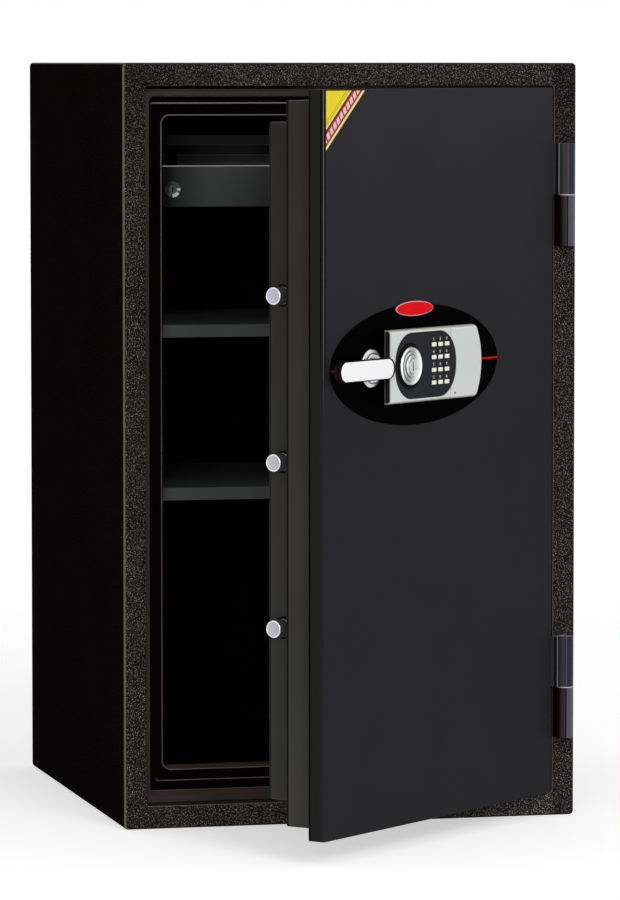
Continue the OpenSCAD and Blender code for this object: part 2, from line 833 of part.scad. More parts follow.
// Silver cover shell, open at its left end, whose rim starts at height h0
module silver_shell(h0) {
    difference() {
        intersection() {
            raised(h0, cover_h1 + 1) housing_plan(0, housing_h / 2 + 1);
            cover_bar(0);
        }
        intersection() {
            raised(h0 - 1, cover_h1) {
                housing_plan(cover_wall, housing_h / 2);
                rect([housing_x - 1, housing_x + 2 * cover_wall, housing_zs[0], housing_zs[1]]);
            }
            cover_bar(cover_wall);
        }
        raised(cover_h1 - cover_wall - 1, cover_h1 + 1) panel_outline(cover_gap);
    }
}

module lock_housing() {
    color("#d5d8d6") on_door() intersection() {
        silver_shell(base_h1);
        raised(base_h1 - 1, cover_h1 + 1)
            rect([housing_x - 1, seam_x - cover_gap / 2, lock_z - housing_h, lock_z + housing_h]);
    }
}

module battery_cover() {
    color("#d5d8d6") on_door() intersection() {
        silver_shell(base_h1 + loose_gap);
        raised(base_h1 - 1, cover_h1 + 1)
            rect([seam_x + cover_gap / 2, housing_end_x + 1, lock_z - housing_h, lock_z + housing_h]);
    }
}

module keypad_panel() {
    side = key_w / 2 + 1.6;
    color("#17181b") on_door() difference() {
        raised(base_h1, panel_h1) panel_outline(0);
        rod(plug_x, lock_z, bezel_r + 2.6, -panel_h1 - 1, -base_h1 - 1);
        cylinder_hole(-panel_h1 - 1, -base_h1 + 1);
        raised(base_h1 - 1, pocket_h1)
            rect([key_cols[0] - side, key_cols[2] + side, key_rows[3] - key_h, key_rows[0] + key_h]);
        for (x = key_cols, z = key_rows) raised(base_h1, panel_h1 + 1)
            rect([x - key_w / 2 - 0.2, x + key_w / 2 + 0.2, z - key_h / 2 - 0.2, z + key_h / 2 + 0.2]);
    }
}

module key_bezel() {
    color("#cfd0d2") on_door() difference() {
        union() {
            rod(plug_x, lock_z, bezel_r, -bezel_h1 + 3, -base_h1 - 1);
            rod(plug_x, lock_z, bezel_r * 0.8, -bezel_h1 + 1.2, -bezel_h1 + 3);
            rod(plug_x, lock_z, bezel_r * 0.62, -bezel_h1, -bezel_h1 + 1.2);
            rod(plug_x, lock_z, cylinder_r, -base_h1 - 1, skin_t + 7);
        }
        rod(plug_x, lock_z, plug_r + run_gap, -bezel_h1 - 1, skin_t + 8);
    }
}

module circuit_board() {
    color("#1f5a34") on_door() {
        raised(board_h0 + loose_gap, board_h0 + loose_gap + board_t) rect([
            key_cols[0] - key_w + 1, key_cols[2] + key_w - 1, key_rows[3] - key_h + 1, key_rows[0] + key_h - 1
        ]);
        for (x = key_cols, z = key_rows)
            rod(x, z, 2.2, -dome_h1, -board_h0 - loose_gap - board_t);
    }
}

module batteries() {
    color("#6a6f78") on_door() for (i = [0:3])
        translate([battery_x0, front_y - battery_h, lock_z + (i - 1.5) * battery_pitch]) rotate([0, 90, 0]) {
            cylinder(r = battery_r, h = battery_len - 1);
            translate([0, 0, battery_len - 1]) cylinder(r = 1.9, h = 1);
        }
}

module handle_rosette() {
    color("#c4c4c8") on_door() difference() {
        union() {
            rod(handle_x, lock_z, rosette_r, -plate_t - rosette_t * 0.6, -plate_t);
            rod(handle_x, lock_z, rosette_r * 0.76, -plate_t - rosette_t, -plate_t - rosette_t * 0.6);
        }
        rod(handle_x, lock_z, spindle_r + run_gap, -plate_t - rosette_t - 1, 1);
    }
}

module solenoid_body() {
    end_d = yoke_d - 2.5;
    color("#84868a") on_door() difference() {
        block([solenoid_x - 13, solenoid_x + 13, solenoid_z - 10, solenoid_z + 14], tier2_d, end_d);
        rod(solenoid_x, solenoid_z, plunger_r + run_gap, tier2_d + 2, end_d + 1);
    }
}

// Bolt bar with the yoke that the drive pin moves
module bolt_bar() {
    bar_d0 = bolt_d - bar_w / 2 + 0.5;
    slot_low = lock_z - drive_r - drive_pin_r - 1;
    slot_high = drive_z + drive_pin_r + 1;
    color("#a9aaad") on_door() {
        block([bar_x, bar_x + bar_t, bolt_zs[0] - bar_end, bolt_zs[2] + bar_end], bar_d0, bar_d0 + bar_w);
        difference() {
            block([bar_x + bar_t, yoke_right_x, yoke_low_z, yoke_high_z], yoke_d, yoke_d + yoke_t);
            block([drive_x - slot_half, drive_x + slot_half, slot_low, slot_high],
                yoke_d - 1, yoke_d + yoke_t + 1);
            rod(solenoid_x, solenoid_z, plunger_r + 0.6, yoke_d - 1, yoke_d + yoke_t + 1);
        }
    }
}

module live_bolts() {
    chamfer = 1.2;
    color("#e2e2e6") on_door() for (z = bolt_zs)
        translate([bolt_tip_x, front_y + bolt_d, z]) rotate([0, 90, 0]) rotate_extrude()
            polygon([
                [0, 0], [bolt_r - chamfer, 0], [bolt_r, chamfer],
                [bolt_r, bar_x - bolt_tip_x], [0, bar_x - bolt_tip_x]
            ]);
}

module handle_lever() {
    h0 = plate_t + lever_gap;
    h1 = h0 + lever_t;
    r = lever_w / 2;
    right = handle_x + lever_tail - r;
    left = handle_x + lever_tail - lever_len + r;
    color("#d9dadc") on_door() difference() {
        union() {
            raised(h0, h1) translate([0, lock_z]) {
                translate([left, -r]) square([right - left, 2 * r]);
                translate([left, 0]) circle(r);
                translate([right, 0]) circle(r);
            }
            rod(handle_x, lock_z, spindle_r + 4, -h0, -plate_t - rosette_t - loose_gap);
        }
        rod(handle_x, lock_z, spindle_r + run_gap, -h0 - lever_t + 3, 0);
    }
}

module handle_spindle() {
    color("#8d8d90") on_door() rod(handle_x, lock_z, spindle_r, -plate_t - lever_gap - lever_t + 3, cam_d);
}

module drive_cam() {
    color("#97989b") on_door() {
        rod(handle_x, lock_z, cam_r, cam_d, cam_d + cam_t);
        rod(drive_x, drive_z, drive_pin_r, cam_d + cam_t, yoke_d + yoke_t + 2);
    }
}

module key_plug() {
    slot_h = plug_r * 0.62;
    color("#bfc0c3") on_door() {
        difference() {
            rod(plug_x, lock_z, plug_r, -bezel_h1 - 0.6, skin_t + 6);
            block([plug_x - 0.9, plug_x + 0.9, lock_z - slot_h, lock_z + slot_h],
                -bezel_h1 - 1, -bezel_h1 + 8);
        }
        rod(plug_x, lock_z, tail_r, skin_t + 6, yoke_d);
    }
}

// Arm on the key's tail: turned left it stands in the way of the yoke.
module key_cam() {
    color("#97989b") on_door() {
        rod(plug_x, lock_z, 9, yoke_d, yoke_d + yoke_t);
        block([plug_x - 5, plug_x + 5, lock_z - key_arm_len, lock_z], yoke_d, yoke_d + yoke_t);
    }
}

module solenoid_plunger() {
    color("#d0d0d2") on_door()
        rod(solenoid_x, solenoid_z, plunger_r, tier2_d + 2 + plunger_travel / 4, yoke_d - 0.8);
}

// Key number k counts from the top left, row by row.
module lock_key(k) {
    x = key_cols[(k - 1) % 3];
    z = key_rows[floor((k - 1) / 3)];
    w = key_w / 2;
    h = key_h / 2;
    color("#e4e2d4") on_door() {
        raised(key_flange_h1, key_top_h) rect([x - w, x + w, z - h, z + h]);
        raised(key_flange_h1 - key_flange_t, key_flange_h1)
            rect([x - w - key_flange, x + w + key_flange, z - h - key_flange, z + h + key_flange]);
    }
}

outer_shell();
rear_panel();
front_frame();
body_insulation();
jamb_frame();
door_seal();
strike_plate();
inner_liner();
upper_shelf();
lower_shelf();
shelf_supports();
drawer_hood();
drawer_keeper();
lower_hinge_knuckles();
hinge_pins();
hinge_washers();
drawer_tray();
drawer_lock_barrel();
drawer_lock_plug();
door_skin();
door_insulation();
door_middle_pan();
door_inner_cover();
upper_hinge_knuckles();
cover_screws();
bolt_bushes();
oval_plate();
trim_line();
badge();
corner_sticker();
lock_base();
lock_housing();
keypad_panel();
key_bezel();
circuit_board();
batteries();
handle_rosette();
solenoid_body();
bolt_bar();
live_bolts();
handle_lever();
handle_spindle();
drive_cam();
key_plug();
key_cam();
solenoid_plunger();
battery_cover();
lock_key(1);  // key_1
lock_key(2);  // key_2
lock_key(3);  // key_3
lock_key(4);  // key_4
lock_key(5);  // key_5
lock_key(6);  // key_6
lock_key(7);  // key_7
lock_key(8);  // key_8
lock_key(9);  // key_9
lock_key(10);  // key_10
lock_key(11);  // key_11
lock_key(12);  // key_12
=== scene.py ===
"""Looks of the fire safe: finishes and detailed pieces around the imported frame, in metres, with +Z up."""

import json
import math

import bmesh
import bpy
from mathutils import Matrix, Vector


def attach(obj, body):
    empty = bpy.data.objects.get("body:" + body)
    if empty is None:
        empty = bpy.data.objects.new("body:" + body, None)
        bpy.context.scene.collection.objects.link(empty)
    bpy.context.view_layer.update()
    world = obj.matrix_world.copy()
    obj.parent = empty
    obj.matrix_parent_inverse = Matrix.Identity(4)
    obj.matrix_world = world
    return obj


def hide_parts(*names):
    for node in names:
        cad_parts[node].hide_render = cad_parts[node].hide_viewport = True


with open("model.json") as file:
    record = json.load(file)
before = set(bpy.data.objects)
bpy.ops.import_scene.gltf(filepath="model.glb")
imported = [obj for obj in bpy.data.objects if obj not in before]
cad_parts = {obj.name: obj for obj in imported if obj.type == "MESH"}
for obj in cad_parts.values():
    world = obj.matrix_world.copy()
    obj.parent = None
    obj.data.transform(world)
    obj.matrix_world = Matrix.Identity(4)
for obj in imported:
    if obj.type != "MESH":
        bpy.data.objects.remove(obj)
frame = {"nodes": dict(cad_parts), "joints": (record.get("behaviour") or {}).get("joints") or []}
nodes = frame["nodes"]
joints = {joint["name"]: joint for joint in frame["joints"]}
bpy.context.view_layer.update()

MM = 0.001

# The door is modelled shut and then swung to the angle of the stored pose.
hinge = Vector(joints["door_swing"]["pos_m"])
door_angle = -math.radians(joints["door_swing"]["range_deg"][0])
door_place = Matrix.Translation(hinge) @ Matrix.Rotation(door_angle, 4, "Z") @ Matrix.Translation(-hinge)

# The way that the front of the shut door looks, and of the open one
FRONT = Vector((0, -1, 0))
DOOR_FRONT = door_place.to_3x3() @ FRONT
DOOR_LEFT = door_place.to_3x3() @ Vector((-1, 0, 0))
UP = Vector((0, 0, 1))
# The middle of the floor under the cabinet
FLOOR = Vector()


def node_box(node, on_door=False):
    """Lowest and highest corner of a CAD node; one on the door is measured with the door shut."""
    turn = door_place.inverted() if on_door else Matrix()
    points = [turn @ vertex.co for vertex in nodes[node].data.vertices]
    low = Vector([min(p[i] for p in points) for i in range(3)])
    high = Vector([max(p[i] for p in points) for i in range(3)])
    return low, high


front_y = node_box("front_frame")[0].y


# Materials


class Nodes:
    """A material's node tree, with short calls to add and link its nodes."""

    def __init__(self, name):
        self.material = bpy.data.materials.new(name)
        self.material.use_nodes = True
        self.tree = self.material.node_tree
        self.shader = self.tree.nodes["Principled BSDF"]
        self.coords = self.add("ShaderNodeTexCoord")
        self.place = self.coords.outputs["Object"]

    def add(self, kind, **settings):
        node = self.tree.nodes.new(kind)
        for key, value in settings.items():
            setattr(node, key, value)
        return node

    def link(self, output, target):
        self.tree.links.new(output, target)

    def noise(self, scale, detail=3.0, rough=0.5, stretch=(1, 1, 1), distortion=0.0):
        source = self.place
        if tuple(stretch) != (1, 1, 1):
            mapping = self.add("ShaderNodeMapping")
            mapping.inputs["Scale"].default_value = stretch
            self.link(self.place, mapping.inputs["Vector"])
            source = mapping.outputs["Vector"]
        node = self.add("ShaderNodeTexNoise")
        node.inputs["Scale"].default_value = scale
        node.inputs["Detail"].default_value = detail
        node.inputs["Roughness"].default_value = rough
        node.inputs["Distortion"].default_value = distortion
        self.link(source, node.inputs["Vector"])
        return node.outputs["Fac"]

    def ramp(self, value, stops):
        """Colours along a value: stops are (position, colour), as a grey, (r, g, b) or hex code."""
        node = self.add("ShaderNodeValToRGB")
        elements = node.color_ramp.elements
        while len(elements) < len(stops):
            elements.new(0.5)
        for element, (position, colour) in zip(elements, stops):
            element.position = position
            if isinstance(colour, (int, float)):
                colour = (colour, colour, colour)
            elif isinstance(colour, str):
                colour = srgb(colour)
            element.color = (*colour, 1)
        self.link(value, node.inputs["Fac"])
        return node.outputs["Color"]

    def range(self, value, low, high):
        node = self.add("ShaderNodeMapRange")
        node.inputs["To Min"].default_value = low
        node.inputs["To Max"].default_value = high
        self.link(value, node.inputs["Value"])
        return node.outputs["Result"]

    def math(self, operation, a, b):
        node = self.add("ShaderNodeMath", operation=operation)
        for socket, value in zip(node.inputs, (a, b)):
            if isinstance(value, (int, float)):
                socket.default_value = value
            else:
                self.link(value, socket)
        return node.outputs["Value"]

    def vector(self, operation, output, other=None, result="Vector"):
        """Vector maths on an output, with a fixed second vector where the operation takes one."""
        node = self.add("ShaderNodeVectorMath", operation=operation)
        self.link(output, node.inputs[0])
        if other is not None:
            node.inputs[1].default_value = other
        return node.outputs[result]

    def along(self, output, direction, origin=(0, 0, 0)):
        """How far a vector reaches along a direction, from an origin."""
        start = self.vector("SUBTRACT", output, origin)
        return self.vector("DOT_PRODUCT", start, direction, "Value")

    def facing(self, direction, stops):
        """Colour by the way a surface looks: stops are (cosine to the direction, colour)."""
        cosine = self.along(self.coords.outputs["Normal"], direction)
        value = self.range(cosine, 0, 1)
        value.node.inputs["From Min"].default_value = -1
        return self.ramp(value, [((position + 1) / 2, colour) for position, colour in stops])

    def placed(self, direction, origin, stops):
        """Colour by place: stops are (mm along a direction from an origin, colour)."""
        low, high = stops[0][0], stops[-1][0]
        value = self.range(self.along(self.place, direction, origin), 0, 1)
        value.node.inputs["From Min"].default_value = low * MM
        value.node.inputs["From Max"].default_value = high * MM
        return self.ramp(value, [((place - low) / (high - low), colour) for place, colour in stops])

    def zone(self, share, zones):
        """Narrows a share to where zones meet; each is (direction, [(mm, share), ...])."""
        for direction, stops in zones:
            share = self.math("MULTIPLY", share, self.placed(direction, FLOOR, stops))
        return share

    def flat(self, centre):
        """Where a point lies from a centre, in the upright plane that faces the front."""
        return self.vector("MULTIPLY", self.vector("SUBTRACT", self.place, centre), (1, 0, 1))

    def swept(self, flat, direction, stops):
        """Colour by the angle round a centre: stops are (cosine to a direction, factor)."""
        cosine = self.range(self.along(self.vector("NORMALIZE", flat), direction), 0, 1)
        cosine.node.inputs["From Min"].default_value = -1
        return self.ramp(cosine, [((c + 1) / 2, factor) for c, factor in stops])

    def blend(self, share, first, second, how="MIX"):
        """Mixes two colours by a share; each may be an output or a fixed (r, g, b)."""
        node = self.add("ShaderNodeMix", data_type="RGBA", blend_type=how)
        if isinstance(share, (int, float)):
            node.inputs["Factor"].default_value = share
        else:
            self.link(share, node.inputs["Factor"])
        for socket, value in zip([s for s in node.inputs if s.type == "RGBA"], (first, second)):
            if isinstance(value, tuple):
                socket.default_value = (*value, 1)
            else:
                self.link(value, socket)
        return [s for s in node.outputs if s.type == "RGBA"][0]

    def tint(self, colour, factor):
        """Multiplies two colours."""
        return self.blend(1, colour, factor, "MULTIPLY")

    def bump(self, height, strength, distance):
        node = self.add("ShaderNodeBump")
        node.inputs["Strength"].default_value = strength
        node.inputs["Distance"].default_value = distance
        self.link(height, node.inputs["Height"])
        self.link(node.outputs["Normal"], self.shader.inputs["Normal"])

    def finish(self, metal=0.0, specular=0.5):
        self.shader.inputs["Metallic"].default_value = metal
        self.shader.inputs["Specular IOR Level"].default_value = specular
        return self.material


def srgb(code):
    """Linear colour from a hex code."""
    values = [int(code[i : i + 2], 16) / 255 for i in (1, 3, 5)]
    return tuple(v / 12.92 if v <= 0.04045 else ((v + 0.055) / 1.055) ** 2.4 for v in values)


def shaded(colour, factor):
    return tuple(min(1.0, c * factor) for c in colour)


def around(code, spread, low=0.3, high=0.7):
    """Stops of a ramp from a little darker than a hex code to a little lighter."""
    return [(low, shaded(srgb(code), 1 - spread)), (high, shaded(srgb(code), 1 + spread))]


def between(start, end, soft=0.5):
    """Stops of a zone that runs from start to end in mm, with soft ends."""
    return [(start - soft, 0), (start, 1), (end, 1), (end + soft, 0)]


def paint(
    name, code=None, rough=0.5, specular=0.1, grain=900, depth=0.00004, spread=0.1,
    looks=None, glint=None, bands=None, fades=(), lines=(), sweep=None,
):
    """Sprayed paint: faint cloudiness, an uneven sheen and a fine orange peel.

    Its colour is the hex code, or else that of looks or bands:
    looks is (direction, [(cosine, hex code), ...]) for colour by the way a surface faces, here painted light
    and shade on faces and edges;
    bands is (direction, origin, [(mm, hex code), ...]) for colour by place.
    On top of that come, in this order:
    fades, each (direction, origin, [(mm, factor), ...]);
    sweep, (centre, direction, [(cosine, factor), ...]) for painted fans of light and dark, painted
    reflections round a turned part;
    lines, each (zones, hex code) for a colour where all of its zones meet;
    glint, (direction, cosine, hex code, zones ...) for a painted highlight along an edge.
    A zone is (direction, [(mm, share), ...]), measured from the middle of the floor.
    """
    m = Nodes(name)
    cloud = m.noise(9, detail=4, rough=0.6)
    if looks or bands:
        *place, stops = looks or bands
        stops = [(at, shaded(srgb(stop), 1 + spread)) for at, stop in stops]
        base = m.facing(*place, stops) if looks else m.placed(*place, stops)
        base = m.tint(base, m.ramp(cloud, [(0.3, 1 - 2 * spread), (0.7, 1.0)]))
    else:
        base = m.ramp(cloud, around(code, spread))
    for fade in fades:
        base = m.tint(base, m.placed(*fade))
    if sweep:
        centre, direction, stops = sweep
        base = m.tint(base, m.swept(m.flat(centre), direction, stops))
    for zones, edge in lines:
        base = m.blend(m.zone(1.0, zones), base, srgb(edge))
    if glint:
        direction, cosine, edge, *zones = glint
        share = m.facing(direction, [(cosine - 0.05, 0), (cosine, 1)])
        base = m.blend(m.zone(share, zones), base, srgb(edge))
    m.link(base, m.shader.inputs["Base Color"])
    m.link(m.range(m.noise(60, detail=2), rough - 0.06, rough + 0.06), m.shader.inputs["Roughness"])
    m.bump(m.noise(grain, detail=2), 0.5, depth)
    return m.finish(specular=specular)


def hammered(name, crease, colour, crown, speck, specular, scale, depth, fades=(), unlit=None):
    """Wrinkle enamel: ridges about a millimetre wide, black in the creases as painted shade, with a few
    bright crowns as painted highlights.

    fades are as in paint, and unlit is (direction, factor) for painted shade on a side in the dark.
    """
    m = Nodes(name)
    ridges = m.noise(scale, detail=1.5, rough=0.6, distortion=0.3)
    body = m.ramp(ridges, [(0.41, crease), (0.49, colour), (0.6, crown), (0.7, speck)])
    for fade in fades:
        body = m.tint(body, m.placed(*fade))
    if unlit:
        direction, factor = unlit
        body = m.tint(body, m.facing(direction, [(0.6, 1.0), (0.9, factor)]))
        m.link(m.facing(direction, [(0.5, specular), (0.7, 0.0)]), m.shader.inputs["Specular IOR Level"])
    patches = m.ramp(m.noise(16, detail=2), [(0.3, 0.86), (0.7, 1.0)])
    m.link(m.tint(body, patches), m.shader.inputs["Base Color"])
    m.link(m.range(m.noise(500, detail=2), 0.38, 0.62), m.shader.inputs["Roughness"])
    m.bump(ridges, 0.8, depth)
    return m.finish(specular=specular)


def metal(name, code, rough=0.2, brushed=None, fades=()):
    """Bare or plated metal, with brush marks across the given stretch; fades are as in paint."""
    m = Nodes(name)
    streaks = m.noise(700 if brushed else 90, detail=3, stretch=brushed or (1, 1, 1))
    base = m.ramp(streaks, around(code, 0.06, 0.25, 0.75))
    for fade in fades:
        base = m.tint(base, m.placed(*fade))
    m.link(base, m.shader.inputs["Base Color"])
    m.link(m.range(streaks, rough - 0.05, rough + 0.07), m.shader.inputs["Roughness"])
    m.bump(streaks, 0.25, 0.00002)
    return m.finish(metal=1.0)


def turned(name, code, centre, rough, sweep=None):
    """Metal turned on a lathe: fine rings round a centre, in the plane of the shut door's front.

    sweep is (direction, [(cosine, factor), ...]) for painted fans of light and dark, the painted reflections
    that turned metal shows.
    """
    m = Nodes(name)
    flat = m.flat(centre)
    length = m.vector("LENGTH", flat, result="Value")
    noise = m.add("ShaderNodeTexNoise", noise_dimensions="1D")
    noise.inputs["Scale"].default_value = 2200
    noise.inputs["Detail"].default_value = 2
    m.link(length, noise.inputs["W"])
    marks = noise.outputs["Fac"]
    base = m.ramp(marks, around(code, 0.1))
    if sweep:
        base = m.tint(base, m.swept(flat, *sweep))
    m.link(base, m.shader.inputs["Base Color"])
    m.link(m.range(marks, rough - 0.06, rough + 0.1), m.shader.inputs["Roughness"])
    m.bump(marks, 0.25, 0.00002)
    return m.finish(metal=1.0)


def moulded(name, code, rough=0.45, specular=0.1, grain=1500, depth=0.00003):
    """Moulded plastic: a fine spark-eroded grain and slight flow marks."""
    m = Nodes(name)
    flow = m.noise(14, detail=3, stretch=(1, 1, 0.4))
    m.link(m.ramp(flow, around(code, 0.1)), m.shader.inputs["Base Color"])
    m.link(m.range(m.noise(120, detail=3), rough - 0.05, rough + 0.08), m.shader.inputs["Roughness"])
    m.bump(m.noise(grain, detail=2), 0.4, depth)
    return m.finish(specular=specular)


def striped_film(name, corner, width, height):
    """Printed film on a corner: yellow, then a red band with slanting white bars, then a pale edge."""
    m = Nodes(name)
    across = m.along(m.place, (1 / width, 0, -1 / height), corner)
    yellow, thin, red, edge = "#ecd820", "#5f5412", "#b8273a", "#f2e48a"
    stops = [(0.0, yellow), (0.52, yellow), (0.53, thin), (0.54, yellow), (0.57, yellow), (0.58, thin)]
    stops += [(0.59, yellow), (0.63, yellow), (0.645, "#f3e9a8"), (0.665, "#3a0d0c"), (0.695, "#3a0d0c")]
    stops += [(0.715, red), (0.91, red), (0.93, "#4c1210"), (0.95, edge), (0.99, edge)]
    bands = m.ramp(across, stops)
    bars_per_metre, gap_share, bars_start, bars_end, strength = (104, 0, 56), 0.3, 0.745, 0.885, 0.8
    steps = m.math("FRACT", m.along(m.place, bars_per_metre, corner), 0.0)
    bars = m.math("GREATER_THAN", steps, gap_share)
    past_start = m.math("GREATER_THAN", across, bars_start)
    inside = m.math("MULTIPLY", past_start, m.math("LESS_THAN", across, bars_end))
    share = m.math("MULTIPLY", m.math("MULTIPLY", bars, inside), strength)
    m.link(m.blend(share, bands, srgb("#f0dde0")), m.shader.inputs["Base Color"])
    m.link(m.range(m.noise(80, detail=2), 0.3, 0.42), m.shader.inputs["Roughness"])
    m.bump(m.noise(400, detail=1), 0.2, 0.00002)
    return m.finish(specular=0.1)


# Directions and places that the bands, fades and lines of the finishes are measured along and from
door_origin = door_place @ Vector((0, front_y, 0))
DOOR_DEPTH = -DOOR_FRONT
ALONG_X = Vector((1, 0, 0))
INWARD = Vector((0, 1, 0))
KNUCKLE_ACROSS = Vector((0.971, -0.2375, 0))
front_at = DOOR_DEPTH.dot(door_origin) / MM
middle_at = DOOR_LEFT.dot(door_origin) / MM
lock_low, lock_high = node_box("drawer_lock_barrel")
drawer_lock = (lock_low + lock_high) / 2
key_feet = [node_box(f"key_{number}", on_door=True)[0].z / MM for number in (1, 4, 7, 10)]

# Zones, in mm from the middle of the floor.
# A painted highlight on the left edge of the door, from the height of the lock up
HIGHLIGHT_ABOVE_LOCK = (UP, [(500, 0), (540, 0.25), (600, 1)])
# The side of the door's front slab, in painted shade, and the dark lines of painted shade beside its painted
# highlight
SLAB_SIDE = (DOOR_DEPTH, between(front_at + 4.9, front_at + 16.7))
LINE_BEHIND_EDGE = (DOOR_DEPTH, between(front_at + 2.3, front_at + 4.2))
LINE_BESIDE_EDGE = (DOOR_LEFT, between(middle_at + 241.6, middle_at + 243.6))
# Painted light on the back wall of the drawer, and a painted highlight along the top of its front
DRAWER_BACK = (INWARD, between(100, 170))
DRAWER_FRONT = (INWARD, between(-180, -160))
# Painted light on what shows of the back of the liner over the drawer
OVER_DRAWER = [
    (INWARD, between(200, 300)),
    (UP, [(784, 0), (785, 1), (811, 0.4), (813, 0)]),
    (ALONG_X, [(-135, 0.1), (-100, 0.5), (-60, 1), (-10, 1), (29, 0.55), (31, 0)]),
]
# Painted light in the seam round the moulding, where the open door stands in front of it
SEAM_BEHIND_DOOR = [(UP, between(868.5, 874)), (ALONG_X, [(-70, 0), (-20, 1)])]

# Its left side is darkened by unlit as painted shade.
case_black = hammered(
    "case_black", "#0b0708", "#1d1818", "#2e2827", "#5a5351",
    specular=0.05, scale=640, depth=0.0003, unlit=(-ALONG_X, 0.36),
)
# Painted light and shade on the strip: darker towards the top, towards the left and at its two ends.
strip_up = [(0, 0.74), (27, 0.74), (120, 0.72), (300, 0.735), (700, 0.69), (800, 0.54), (880, 0.42)]
strip_along = [(-276, 0.5), (-246, 0.5), (-200, 0.67), (-130, 0.88), (0, 1.0), (244, 1.0), (250, 0.45)]
strip_along += [(276, 0.45)]
strip_paint = hammered(
    "strip_paint", "#0a0808", "#353130", "#655e5b", "#f1e4da",
    specular=0.02, scale=820, depth=0.0005, fades=((UP, FLOOR, strip_up), (ALONG_X, FLOOR, strip_along)),
)
# The glint on the folded edge and the line along its bottom lip are painted highlights.
strip_edge = paint(
    "strip_edge", "#2b2725", rough=0.4, specular=0.02,
    glint=(Vector((-1, -1, 0)).normalized(), 0.76, "#6b615c"),
    lines=(([(UP, between(26, 27.5))], "#6f6a66"),),
)
# Painted light and shade on the door: faces, sides and edges take colours by the way they face, the line at
# the back edge of its slab is painted shade, and it is painted darker towards the bottom.
door_looks = [(-0.95, "#302f2e"), (-0.3, "#0f0f0e"), (-0.1, "#2d2f2d"), (0.6, "#2f312f"), (0.9, "#2e2e31")]
door_paint = paint(
    "door_paint", specular=0.02, spread=0.04,
    looks=(DOOR_FRONT, door_looks),
    glint=((DOOR_FRONT + DOOR_LEFT).normalized(), 0.82, "#a39f99", HIGHLIGHT_ABOVE_LOCK),
    fades=(
        (DOOR_DEPTH, door_origin, [(-1, 1), (16.9, 1), (17.3, 0.1), (19.5, 0.1), (19.8, 1), (21, 1)]),
        (UP, FLOOR, [(30, 0.7), (250, 0.69), (500, 0.68), (700, 0.8), (870, 0.98)]),
    ),
    lines=(
        ([SLAB_SIDE], "#222221"),
        ([LINE_BEHIND_EDGE, HIGHLIGHT_ABOVE_LOCK], "#060606"),
        ([LINE_BESIDE_EDGE, HIGHLIGHT_ABOVE_LOCK], "#070707"),
    ),
)
# Each tier of the door ends in a dark line of painted shade, their rounded edges are painted dark as painted
# shade, and the tiers are a little darker higher up
tier_depths = [(20, 1), (54.9, 1), (55.3, 0.08), (57.5, 0.08), (57.8, 1)]
tier_depths += [(98, 1), (98.4, 0.2), (99.3, 0.2), (99.6, 1), (101, 1)]
tier_heights = [(20, (1.0, 1.0, 1.0)), (170, (0.93, 0.95, 0.98)), (375, (0.84, 0.84, 0.84))]
tier_heights += [(510, (0.82, 0.83, 0.84)), (625, (0.74, 0.66, 0.68)), (860, (0.68, 0.6, 0.62))]
tier_paint = paint(
    "tier_paint", specular=0.06, grain=1300, depth=0.00006,
    looks=(DOOR_FRONT, [(-0.97, "#353432"), (-0.85, "#0b0a09"), (-0.3, "#0b0a09"), (-0.08, "#3d3c39")]),
    fades=((DOOR_DEPTH, door_origin, tier_depths), (UP, FLOOR, tier_heights)),
)
# A near-black liner with a patch of painted light over the drawer.
liner_paint = paint("liner_paint", "#0c0a0a", specular=0.0, lines=((OVER_DRAWER, "#7b7b79"),))
shelf_paint = paint("shelf_paint", "#585b5a", rough=0.45, specular=0.06)
# Painted light and shade on the hood: colour by the way its faces look up or down, darkening towards its
# left end.
hood_paint = paint(
    "hood_paint", rough=0.45, specular=0.0,
    looks=(UP, [(-0.97, "#171818"), (-0.8, "#4a4c4b"), (-0.25, "#4a4c4b"), (-0.1, "#1a1b1b")]),
    fades=((ALONG_X, FLOOR, [(-206, 0.15), (-194, 0.5), (-160, 1.0), (-80, 1.0), (26, 0.7)]),),
)
# Near black as painted shade: the keeper stands in the dark under the hood.
keeper_paint = paint("keeper_paint", "#020202", specular=0.0)
# Painted shade darkens the drawer towards its left end and less so towards its right; its up-facing edges
# carry painted highlights.
drawer_fade = [(-206, 0.01), (-199, 0.01), (-193, 0.12), (-185, 0.355), (-170, 0.56), (-160, 0.74)]
drawer_fade += [(-149, 0.9), (-129, 0.86), (-109, 0.76), (-84, 0.57), (24, 0.45)]
drawer_paint = paint(
    "drawer_paint", rough=0.42, specular=0.04,
    looks=(UP, [(0.08, "#454948"), (0.2, "#e4e5e1"), (0.9, "#e4e5e1"), (0.98, "#3c403f")]),
    fades=((ALONG_X, FLOOR, drawer_fade),),
    lines=(
        ([DRAWER_BACK, (UP, between(776.5, 783.9))], "#858784"),
        ([DRAWER_BACK, (UP, between(730, 776))], "#a5a7a4"),
        ([DRAWER_BACK, (UP, between(784.4, 786))], "#e2e3df"),
        ([DRAWER_FRONT, (UP, between(777.1, 779))], "#a6a8a4"),
    ),
)
jamb_brown = moulded("jamb_brown", "#3f3735", rough=0.4, specular=0.05)
# Painted shade on the recessed faces of the moulding, with its up-facing faces painted lighter and painted
# light in the seam behind the open door.
jamb_dark = paint(
    "jamb_dark", rough=0.45, specular=0.0,
    looks=(UP, [(0.5, "#0b0405"), (0.9, "#6f574f")]),
    lines=((SEAM_BEHIND_DOOR, "#5c5754"),),
)
